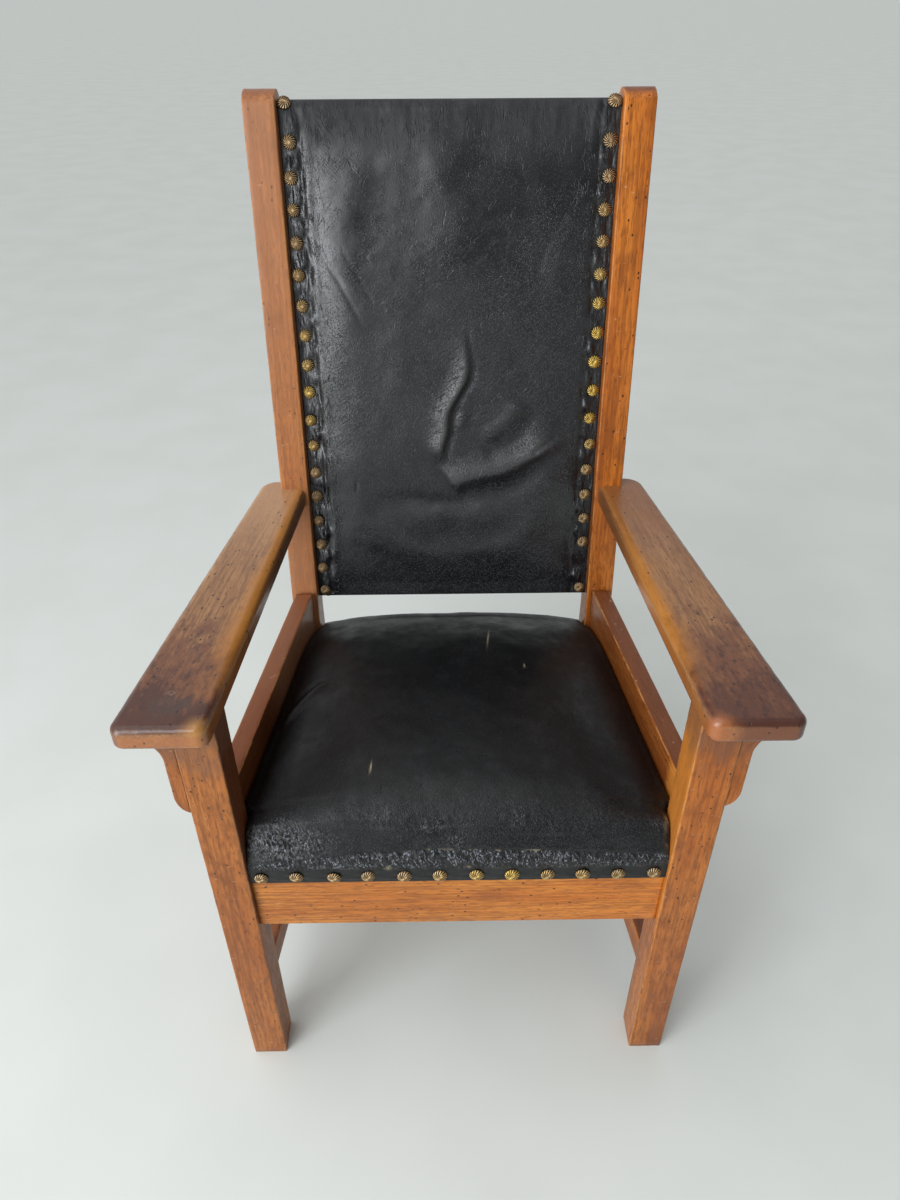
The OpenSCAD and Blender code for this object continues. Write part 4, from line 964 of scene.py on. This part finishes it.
class Finish:
    """One material's node tree, with its main shader."""

    def __init__(self, name, **constants):
        self.material = bpy.data.materials.new(name)
        self.material.use_nodes = True
        self.tree = self.material.node_tree
        self.shader = self.tree.nodes["Principled BSDF"]
        self.set(**constants)

    def feed(self, socket, value):
        """Links a field into a socket, or sets its constant."""
        if isinstance(value, Field):
            self.tree.links.new(value.socket, socket)
        else:
            socket.default_value = value + (1.0,) if socket.type == "RGBA" else value

    def node(self, kind, settings=None, inputs=None, output=0):
        """Any node: its settings first, then the values or links of its sockets."""
        made = self.tree.nodes.new(kind)
        for key, value in (settings or {}).items():
            setattr(made, key, value)
        for key, value in (inputs or {}).items():
            self.feed(made.inputs[key], value)
        return Field(self, made.outputs[output])

    def attribute(self, name, output="Fac"):
        return self.node("ShaderNodeAttribute", {"attribute_name": name}, output=output)

    def spot(self):
        """Object coordinates."""
        return self.node("ShaderNodeTexCoord", output="Object")

    def parts(self, vector, picks=(0, 1, 2)):
        """A vector's three numbers, or some of them."""
        return [self.node("ShaderNodeSeparateXYZ", None, {0: vector}, k) for k in picks]

    def facing(self, *picks):
        """How far the surface faces to the right (0), to the rear (1) and up (2)."""
        return self.parts(self.node("ShaderNodeNewGeometry", output="Normal"), picks)

    def stretch(self, vector, scale):
        return self.node("ShaderNodeVectorMath", {"operation": "MULTIPLY"}, {0: vector, 1: scale})

    def away(self, vector, place):
        """Distance from a place."""
        return self.node("ShaderNodeVectorMath", {"operation": "DISTANCE"}, {0: vector, 1: place}, 1)

    def noise(self, vector, scale, detail=3.0, roughness=0.5, distortion=0.0):
        return self.node("ShaderNodeTexNoise", None, {"Vector": vector, "Scale": scale, "Detail": detail,
                                                      "Roughness": roughness, "Distortion": distortion})

    def drawn(self, vector, scale, *numbers):
        """Noise over coordinates that are scaled differently each way."""
        return self.noise(self.stretch(vector, scale), *numbers)

    def cells(self, vector, scale, feature="F1", **inputs):
        return self.node("ShaderNodeTexVoronoi", {"feature": feature},
                         {"Vector": vector, "Scale": scale, **inputs})

    def creases(self, vector, turn, spacing, width, length):
        """Thin lines where a noise, turned and drawn out along its lines, passes its middle."""
        drawn = self.node("ShaderNodeMapping", {"vector_type": "TEXTURE"},
                          {"Vector": vector, "Rotation": (0.0, 0.0, turn), "Scale": (1.0, length, 1.0)})
        field = self.noise(drawn, 0.5 / spacing, 2.0, 0.5, 0.6)
        return (field - 0.5).math("ABSOLUTE").fall(0.0, width)

    def mix(self, factor, a, b, blend="MIX"):
        return self.node("ShaderNodeMix", {"data_type": "RGBA", "blend_type": blend},
                         {0: factor, 6: a, 7: b}, 2)

    def over(self, colour, *layers):
        """Colours laid over a first one in turn, each with its mask and its screen values."""
        for mask, shade in layers:
            colour = self.mix(mask, colour, tone(*shade))
        return colour

    def bump(self, height, distance, strength=0.8):
        return self.node("ShaderNodeBump", None,
                         {"Height": height, "Distance": distance, "Strength": strength})

    def set(self, **values):
        for socket, value in values.items():
            self.feed(self.shader.inputs[socket.replace("_", " ")], value)
        return self.material


def wood_colour(finish, board, light, middle, dark):
    """Grain along the board's third direction: broad bands, fine streaks, short flecks, pores and worm holes.
    Returns the colour, the streaks and the pits, which also shape the surface."""
    bands = finish.drawn(board, (9.0, 9.0, 1.1), 3.0, 3.0, 0.55, 0.6)
    streaks = finish.drawn(board, (150.0, 150.0, 6.0), 1.6, 4.0, 0.65)
    mottle = finish.drawn(board, (22.0, 22.0, 12.0), 1.7, 5.0, 0.65)
    flecks = finish.drawn(board, (420.0, 420.0, 60.0), 1.0, 2.0, 0.6)
    pores = finish.cells(finish.stretch(board, (1.0, 1.0, 0.22)), 300.0).fall(0.1, 0.24)
    pores = pores * finish.noise(board, 60.0, 2.0).ramp(0.46, 0.6)
    holes = finish.cells(finish.stretch(board, (1.0, 1.0, 0.7)), 96.0).fall(0.09, 0.14)
    holes = holes * finish.noise(board, 14.0, 2.0).ramp(0.38, 0.5)
    colour = finish.over(
        finish.mix(bands.ramp(0.3, 0.7), tone(*light), tone(*middle)),
        (mottle.ramp(0.45, 0.75, 0.0, 0.6), dark), (streaks.ramp(0.42, 0.62, 0.0, 0.55), dark),
        (flecks.ramp(0.5, 0.66, 0.0, 0.6), dark), (pores * 0.6, (84, 44, 20)), (holes * 0.9, (44, 22, 12)))
    return colour, streaks, (pores * 0.4).most(holes)


def frame_wood(name, light, middle, dark):
    """Varnished orange-brown frame wood. The right half is given a warmer tone, the warmer the higher, and
    the left half is painted paler as sheen, and lighter below the arms against their shade. Arrises are worn
    pale, partly a painted highlight, and there is grime below the arms."""
    finish = Finish(name, Specular_IOR_Level=0.35, Coat_Weight=0.1, Coat_Roughness=0.3)
    board, spot = finish.attribute("board", "Vector"), finish.spot()
    colour, streaks, pits = wood_colour(finish, board, light, middle, dark)
    aside, facing_up = finish.facing(0, 2)
    across, back, height = finish.parts(spot)
    right = across.ramp(-0.1, 0.1)
    warm = across.ramp(0.0, 0.2) * height.ramp(0.0, 1.1, 0.25, 1.0)
    colour = finish.mix(warm, colour, (1.36, 1.2, 0.7), "MULTIPLY")
    # Upward faces are painted browner and redder, as shade from the seat and the arms above them
    upward = finish.mix(right, tone(144, 87, 58), tone(112, 66, 46))
    colour = finish.mix(facing_up.ramp(0.75, 0.97, 0.0, 0.8), colour, upward)
    # Faces toward the seat are painted dark as shade, and the right leg's is painted golden as the window's
    # light on it
    inward = (aside * across).fall(-0.2, -0.1) * height.ramp(0.28, 0.34) * height.fall(0.64, 0.68)
    inward_shade_strength = across.fall(-0.1, 0.1, 0.8).most(right * back.ramp(-0.21, -0.19, 0.1, 0.6))
    golden = inward * right * back.fall(-0.21, -0.19, 0.45)
    # Painted light: the left posts are painted paler as the window's sheen, and lighter below the arms
    # against the arms' shade
    left_painted_light = height.ramp(0.72, 1.0, 0.6, 1.0).most(height.fall(0.62, 0.68, 1.2))
    left_painted_light = left_painted_light * across.fall(-0.25, 0.0, 0.45) * back.ramp(-0.1, 0.0)
    left_painted_light = left_painted_light * facing_up.ramp(0.5, 0.9, 1.0, 0.35)
    ragged = finish.drawn(board, (30.0, 30.0, 20.0), 1.3, 4.0, 0.6)
    grime = (height + (ragged - 0.5) * 0.13).ramp(0.565, 0.625) * back.fall(-0.2, -0.1)
    rub = finish.drawn(board, (30.0, 30.0, 14.0), 3.0, 3.0, 0.6)
    # Pale worn arrises, which also stand for a painted highlight along the edges
    worn = finish.attribute("rim").fall(0.0002, 0.0026) * rub.ramp(0.4, 0.62)
    scratch = finish.drawn(spot, (60.0, 60.0, 190.0), 1.4, 2.0, 0.5, 1.2)
    colour = finish.over(
        colour, (inward * inward_shade_strength, (84, 40, 20)), (golden, (220, 144, 62)), (left_painted_light, (188, 134, 98)),
        (grime * 0.65, (116, 80, 60)), (worn * 0.55, (214, 156, 92)),
        (scratch.ramp(0.71, 0.74, 0.0, 0.5), (206, 168, 132)))
    return finish.set(Base_Color=colour, Roughness=rub.ramp(0.3, 0.7, 0.34, 0.48),
                      Normal=finish.bump(streaks * 0.25 - pits, 0.0005))


# Marks in the left arm's top, by their places across and along it
KNOT, STAIN = (-2 * MM, 26 * MM), (6 * MM, 6 * MM)
PITS = [(across * MM, along * MM) for across, along in (
    (38, 315), (40, 295), (44, 138), (8, 120), (46, 114), (26, 67), (33, 10), (38, -8), (14, -22), (-30, 40))]


def arm_wood(side):
    """An arm's wood: a brown top worn by hands, golden along its inner edge, partly where an arm rubs it and
    partly a painted highlight, dark red-brown toward the front. The left one has a grey stain, a knot and
    pits."""
    left = side < 0
    finish = Finish(f"{SIDES[side]}_arm_wood", Specular_IOR_Level=0.5, Coat_Weight=0.35, Coat_Roughness=0.22)
    board, place = finish.attribute("board", "Vector"), finish.attribute("place", "Vector")
    rim = finish.attribute("rim")
    colour, streaks, pits = wood_colour(finish, board, (176, 126, 78), (152, 102, 60), (110, 68, 38))
    x, h, y = finish.parts(place)
    rag = finish.drawn(board, (16.0, 16.0, 8.0), 2.2, 5.0, 0.65)
    fine = finish.drawn(board, (60.0, 60.0, 24.0), 2.0, 5.0, 0.7)
    sway, fray = rag - 0.5, fine - 0.5
    level = h.ramp(-0.007, -0.002)
    front = (y + sway * 0.36 + fray * 0.24).fall(0.08, 0.17) * level
    blotch = finish.drawn(board, (44.0, 44.0, 26.0), 2.0, 5.0, 0.72).ramp(0.5, 0.6)
    red = (y + sway * 0.26 + fray * 0.26).fall(0.0, 0.07) * level
    # Painted sheen: the left arm's rear is painted paler; the right arm's rear is given a darker brown
    colour = finish.over(
        colour, ((y + sway * 0.2).ramp(0.22, 0.48, 0.0, 0.6), (204, 156, 112) if left else (140, 84, 40)),
        (front * 0.75, (108, 57, 34)), (blotch * front * 0.6, (56, 28, 20)),
        (red * (0.8 if left else 0.6), (68, 28, 17)))
    if left:
        def off(mark, length=1.0):
            """Distance over the top from a mark, with the way along the arm counted length times."""
            return finish.away(finish.stretch(place, (1.0, 0.0, length)), (mark[0], 0.0, mark[1] * length))

        stain = (off(STAIN, 1.4) + fray * 0.09).fall(0.014, 0.028) * level
        from_knot = off(KNOT, 1.6)
        rub_and_highlight = (from_knot + fray * 0.04).fall(0.003, 0.008) * level
        pits = pits.most((from_knot + fray * 0.004).fall(0.0014, 0.0026) * level)
        for mark in PITS:
            pits = pits.most(off(mark).fall(0.001, 0.0021))
        colour = finish.over(colour, (stain * 0.6, (72, 52, 46)), (rub_and_highlight * 0.35, (168, 124, 98)))
    # Golden inner edge: partly rubbed wear, partly a painted highlight on the rounded edge
    gold = (x + sway * 0.03).ramp(0.014, 0.037) * (y + sway * 0.12).ramp(0.0, 0.12) * 0.75
    if not left:
        gold = gold * y.ramp(0.2, 0.45, 0.85, 0.3)
    corner = (x + fray * 0.02).ramp(0.02, 0.04) * (y + fray * 0.03).fall(-0.024, -0.008)
    rub = finish.drawn(board, (30.0, 30.0, 14.0), 3.0, 3.0, 0.6)
    # Pale worn edges, which also stand for a painted glint along the rounded edges
    worn = rim.fall(0.0005, 0.004) * rub.ramp(0.42, 0.64)
    # The inner flank is painted dark toward the post, as shade. The front edge is dark red, and so is the
    # right arm's whole end
    aside, facing = finish.facing(0, 1)
    inner = y.ramp(0.1, 0.3, 0.3, 0.75) if left else y.ramp(0.2, 0.4, 0.1, 0.6)
    inner = inner * (aside * -side).ramp(0.5, 0.8)
    outer = x.fall(0.012, 0.03)
    edge = facing.ramp(-0.99, -0.9) * facing.fall(-0.35, -0.1) * outer
    colour = finish.over(
        colour, (gold, (196, 128, 50)), (corner * 0.7, (190, 134, 66) if left else (170, 100, 56)),
        (worn * 0.6, (206, 150, 98)), (h.fall(-0.012, -0.007, 0.6), (168, 98, 48)), (inner, (74, 40, 24)))
    if not left:
        colour = finish.over(colour, (facing.fall(-0.5, -0.2, 0.8) * outer, (104, 56, 35)))
    colour = finish.over(
        colour, (edge * (0.5 if left else 0.75), (62, 30, 22)), (pits * 0.8, (40, 20, 12)))
    gloss = rag.ramp(0.3, 0.7, 0.3, 0.46) - rim.fall(0.002, 0.008) * rub.ramp(0.3, 0.5) * 0.14
    return finish.set(Base_Color=colour, Roughness=gloss,
                      Normal=finish.bump(streaks * 0.2 + fine * 0.25 - pits, 0.0005))


def inner_wood():
    """Plain wood of pieces inside the chair, grained along their length by object coordinates."""
    finish = Finish("inner_wood", Roughness=0.6)
    colour, streaks, pits = wood_colour(finish, finish.spot(), (182, 128, 84), (164, 108, 66), (132, 82, 48))
    return finish.set(Base_Color=colour, Normal=finish.bump(streaks - pits, 0.0003, 0.6))


def black_leather(name, shine, smooth, rough, tops_tone, bloom, hole=None):
    """Old black leather: pebbled grain whose tops are lighter, partly a grey bloom and partly painted glints,
    fine creases, crimps with painted highlights on their tops, worn lines, and a pale layer that is partly
    dusty bloom and partly painted sheen and highlights. A hole is the dark pit of a lost nail, by its place
    across and up the leather."""
    finish = Finish(name, Specular_IOR_Level=shine)
    lay = finish.attribute("lay", "Vector")
    worn, pebbled, dust, hatch, cracks, slant, strip, crimp = map(finish.attribute, LEATHER_FIELDS)
    wander = finish.noise(lay, 60.0, 2.0)
    patch = finish.noise(lay, 8.0, 4.0, 0.6)
    # Lighter grain tops: partly a grey bloom, partly painted glints
    tops = finish.cells(lay, 520.0, "SMOOTH_F1", Smoothness=0.15).fall(0.12, 0.42)
    glint = finish.cells(lay, 380.0).fall(0.1, 0.24) * pebbled
    crease = finish.drawn(lay, (1.0, 0.6, 1.0), 520.0, 2.0, 0.6, 0.4)
    strength = pebbled * patch.ramp(0.3, 0.55, 0.7, 1.0)
    # Families of fine creases: a lattice, upright cracks, slanting ones, and some everywhere
    gaps = wander.ramp(0.42, 0.58)
    lattice = finish.creases(lay, 0.8, 0.0032, 0.03, 9.0).most(
        finish.creases(lay, -0.75, 0.003, 0.03, 9.0) * gaps)
    upright = finish.creases(lay, 0.05, 0.0035, 0.03, 6.0)
    leaning = finish.creases(lay, -0.95, 0.003, 0.03, 8.0)
    lines = (lattice * hatch).most(upright * cracks.most(strip) * gaps).most(leaning * slant * gaps)
    lines = lines.most(finish.creases(lay, -0.5, 0.012, 0.008, 3.0) * wander.ramp(0.5, 0.62) * 0.5)
    # Crimped leather: short crests drawn down the leather, with painted highlights on their tops
    crests = finish.creases(lay, 0.35, 0.0034, 0.07, 2.4) * crimp
    specks = finish.drawn(lay, (1.0, 0.6, 1.0), 520.0, 2.0, 0.7).ramp(0.46, 0.57)
    smear = finish.drawn(lay, (1.0, 0.7, 1.0), 34.0, 6.0, 0.7)
    # The pale dust layer is partly dusty bloom and partly painted sheen and highlights
    colour = finish.over(
        finish.mix(patch.ramp(0.3, 0.7), tone(*bloom[0]), tone(*bloom[1])),
        (smear.ramp(0.46, 0.7, 0.0, 0.36), (40, 42, 46)), (tops * strength * 0.8, tops_tone),
        (glint * 0.45, (134, 140, 146)), (lines * 0.6, (6, 6, 7)), (dust * 0.7, (112, 110, 108)),
        (crests * specks * 0.9, (140, 144, 152)), (worn, (190, 176, 146)))
    gloss = (patch.ramp(0.3, 0.75, smooth, rough) + smear.ramp(0.35, 0.65, 0.06, -0.06) + strength * 0.04
             + worn * 0.25 + cracks * 0.26 - strip * 0.08 - crimp * 0.06)
    height = (tops * strength * 1.25 + crease * (strength * 0.7 + 0.08) + lines * -0.8 + wander * 0.3
              + crests * 1.1)
    if hole:
        pit = finish.away(lay, hole).fall(0.0011, 0.0019)
        colour = finish.over(colour, (pit, (4, 3, 3)))
        height = height + pit * -2.5
    return finish.set(Base_Color=colour, Roughness=gloss, Normal=finish.bump(height, 0.0009))


def old_brass():
    """Antique brass nail heads: light on the ribs, brown-black in the grooves, some heads more golden."""
    finish = Finish("old_brass", Metallic=0.8)
    tarnish = finish.noise(finish.spot(), 300.0, 3.0)
    each = finish.attribute("tone").ramp(0.3, 0.95)
    colour = finish.over(
        finish.mix(each, tone(190, 160, 120), tone(240, 204, 104)),
        (tarnish.ramp(0.5, 0.7, 0.0, 0.5), (128, 98, 74)),
        (finish.attribute("groove").ramp(0.3, 0.62), (34, 25, 18)))
    return finish.set(Base_Color=colour, Roughness=tarnish.ramp(0.3, 0.7, 0.38, 0.55))


def jute():
    """Coarse woven jute: two crossing waves of yarn."""
    finish = Finish("jute", Roughness=0.9)
    yarn = {"Vector": finish.spot(), "Scale": 90.0, "Distortion": 0.6}
    across, along = (finish.node("ShaderNodeTexWave", {"bands_direction": way}, yarn) for way in "XY")
    weave = across * along
    colour = finish.mix(weave.ramp(0.1, 0.8), tone(112, 88, 56), tone(176, 150, 108))
    return finish.set(Base_Color=colour, Normal=finish.bump(weave, 0.0006))


def iron():
    """Screws: dull steel with a brown bloom."""
    finish = Finish("iron", Metallic=1.0, Roughness=0.45)
    rust = finish.noise(finish.spot(), 180.0, 3.0).ramp(0.45, 0.65)
    return finish.set(Base_Color=finish.mix(rust, tone(150, 150, 150), tone(110, 82, 62)))


def floor_paint():
    """Pale grey floor with faint clouds, dimmer for the light that bounces off it."""
    finish = Finish("pale_floor", Roughness=0.7, Specular_IOR_Level=0.2)
    soft = finish.noise(finish.spot(), 4.0, 2.0)
    seen = finish.mix(soft.ramp(0.3, 0.7), tone(221, 225, 222), tone(217, 221, 217))
    rays = [finish.node("ShaderNodeLightPath", output=k) for k in ("Is Camera Ray", "Is Glossy Ray")]
    return finish.set(Base_Color=finish.mix(rays[0].most(rays[1]), tone(176, 178, 175), seen))


# Setting the scene


def dress(made, material, slot, *nodes):
    """Gives a piece its finish, hangs it under the root body and hides the construction nodes it replaces."""
    made.data.materials.clear()
    made.data.materials.append(material)
    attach(made, "root")
    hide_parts(*nodes)
    return made


def coat_nodes(material, *names):
    """Gives construction nodes, whose shapes stay, their finish."""
    for name in names:
        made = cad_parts[name]
        if not made.material_slots:
            made.data.materials.append(material)
        for place in made.material_slots:
            place.material = material


def camera():
    """The photograph's viewpoint: close, above the arms, looking down, through a wide lens."""
    data = bpy.data.cameras.new("camera")
    data.lens, data.sensor_width = 26.01, 36.0
    pitch, yaw, roll = (math.radians(v) for v in (35.99, 0.59, -0.29))
    forward = Vector((math.sin(yaw) * math.cos(pitch), math.cos(yaw) * math.cos(pitch), -math.sin(pitch)))
    level = Vector((math.cos(yaw), -math.sin(yaw), 0))
    above = level.cross(forward)
    right = level * math.cos(roll) + above * math.sin(roll)
    up = above * math.cos(roll) - level * math.sin(roll)
    turn = Matrix((right, up, -forward)).transposed().to_4x4()
    made = show("camera", data)
    made.matrix_world = Matrix.Translation((-0.0149, -0.9153, 1.2636)) @ turn
    bpy.context.scene.camera = made


def lamp(kind, name, colour, energy, aim, place=(0, 0, 0), **settings):
    """A soft lamp at a place, shining along a direction."""
    data = bpy.data.lights.new(name, kind)
    data.energy, data.color = energy, colour
    for key, value in settings.items():
        setattr(data, key, value)
    made = show(name, data)
    made.location = place
    made.rotation_euler = Vector(aim).to_track_quat("-Z", "Y").to_euler()


def window(name, place, size, tall, power):
    """A soft rectangle of cool light, aimed at the chair's back."""
    aim = Vector((0, 0.1, 0.8)) - Vector(place)
    lamp("AREA", name, (0.94, 0.97, 1.0), power, aim, place, shape="RECTANGLE", size=size, size_y=tall)


def sky():
    """The room's light: dim from the camera's side and above, brighter from the left and the rear."""
    world = bpy.data.worlds.new("room")
    world.use_nodes = True
    tree = world.node_tree
    background = tree.nodes["Background"]
    background.inputs["Color"].default_value = (0.95, 0.98, 1.0, 1.0)
    direction = tree.nodes.new("ShaderNodeTexCoord")
    toward = tree.nodes.new("ShaderNodeVectorMath")
    toward.operation = "DOT_PRODUCT"
    toward.inputs[1].default_value = (-0.7, 0.6, 0.1)
    level = tree.nodes.new("ShaderNodeMapRange")
    for name, value in (("From Min", -0.7), ("To Min", 0.25), ("To Max", 0.75)):
        level.inputs[name].default_value = value
    seen = tree.nodes.new("ShaderNodeLightPath")
    pick = tree.nodes.new("ShaderNodeMix")
    pick.inputs[3].default_value = 0.72
    for start, end in ((direction.outputs["Generated"], toward.inputs[0]),
                       (toward.outputs["Value"], level.inputs["Value"]),
                       (seen.outputs["Is Camera Ray"], pick.inputs[0]),
                       (level.outputs["Result"], pick.inputs[2]),
                       (pick.outputs[0], background.inputs["Strength"])):
        tree.links.new(start, end)
    bpy.context.scene.world = world


def studio():
    """A pale floor under soft light from above, with a window's worth of light from the left."""
    reach = 300.0
    mesh = bpy.data.meshes.new("floor")
    corners = [(-reach, -reach, 0), (reach, -reach, 0), (reach, reach, 0), (-reach, reach, 0)]
    mesh.from_pydata(corners, [], [(0, 1, 2, 3)])
    mesh.materials.append(floor_paint())
    show("floor", mesh)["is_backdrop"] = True
    sky()
    window("window", (-2.2, -2.1, 1.2), 1.3, 2.2, 60)
    window("high_window", (-1.25, -2.5, 2.1), 1.2, 1.4, 20)
    lamp("SUN", "ceiling", (1.0, 0.99, 0.96), 0.95, (0.45, 0.25, -1.0), angle=math.radians(70))
    bpy.context.scene.view_settings.view_transform = "Standard"


camera()
studio()
timber = frame_wood("frame_wood", (188, 116, 52), (164, 92, 36), (112, 60, 25))
golden_timber = frame_wood("golden_wood", (216, 140, 60), (196, 114, 42), (138, 74, 30))
lost_nail = (BACK_NAIL_X - 2 * MM, BACK_NAIL_LOW_S + BACK_NAIL_PITCH, 0)
back_hide = black_leather("back_leather", 0.65, 0.27, 0.39, (92, 98, 106), ((13, 14, 17), (23, 25, 29)),
                          lost_nail)
seat_hide = black_leather("seat_leather", 0.4, 0.36, 0.52, (52, 54, 60), ((6, 6, 7), (10, 11, 13)))
brass = old_brass()

for side, word in SIDES.items():
    for build, material, slot, node in (
            (front_leg, timber, "wood", "front_leg"), (back_post, timber, "wood", "back_post"),
            (arm, arm_wood(side), "arm_wood", "arm"), (corbel, timber, "wood", "corbel"),
            (side_rail, timber, "wood", "side_rail"), (side_stretcher, timber, "wood", "lower_stretcher"),
            (back_nails, brass, "antique_brass", "back_nails")):
        dress(build(side), material, slot, f"{word}_{node}")
front_top, rear_top = (DECK_Z - (y + RAIL_T) * FALL for y in (FRONT_RAIL_Y, REAR_RAIL_Y))
for name, half, y, low, high, seed, material, node in (
        ("front_rail_timber", LEG_IN, FRONT_RAIL_Y, FRONT_RAIL_Z, front_top, 31, golden_timber,
         "front_seat_rail"),
        ("rear_rail_timber", POST_IN, REAR_RAIL_Y, rear_top - REAR_RAIL_H, rear_top, 33, timber,
         "rear_seat_rail"),
        ("rear_stretcher_timber", POST_IN, REAR_STRETCHER_Y, REAR_STRETCHER_Z,
         REAR_STRETCHER_Z + STRETCHER_H, 35, timber, "rear_stretcher")):
    dress(cross_rail(name, half + 1 * MM, y, low, high, seed), material, "wood", node)
dress(front_nails(), brass, "antique_brass", "seat_front_nails")

seat = dress(seat_cushion(), seat_hide, "black_leather", "seat_leather", "seat_stuffing")
back = dress(back_cushion(), back_hide, "black_leather", "back_leather", "back_stuffing")
dress(rear_cover(), back_hide, "black_leather", "back_rear_cover")

coat_nodes(inner_wood(), "left_seat_ledger", "right_seat_ledger", "back_top_rail", "back_bottom_rail",
           "back_left_stile", "back_right_stile", "leg_dowels", "post_dowels", "corbel_dowels")
coat_nodes(jute(), "seat_webbing", "seat_hessian", "back_webbing")
coat_nodes(iron(), "ledger_screws")
coat_nodes(brass, "rear_cover_tacks")

low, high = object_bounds()
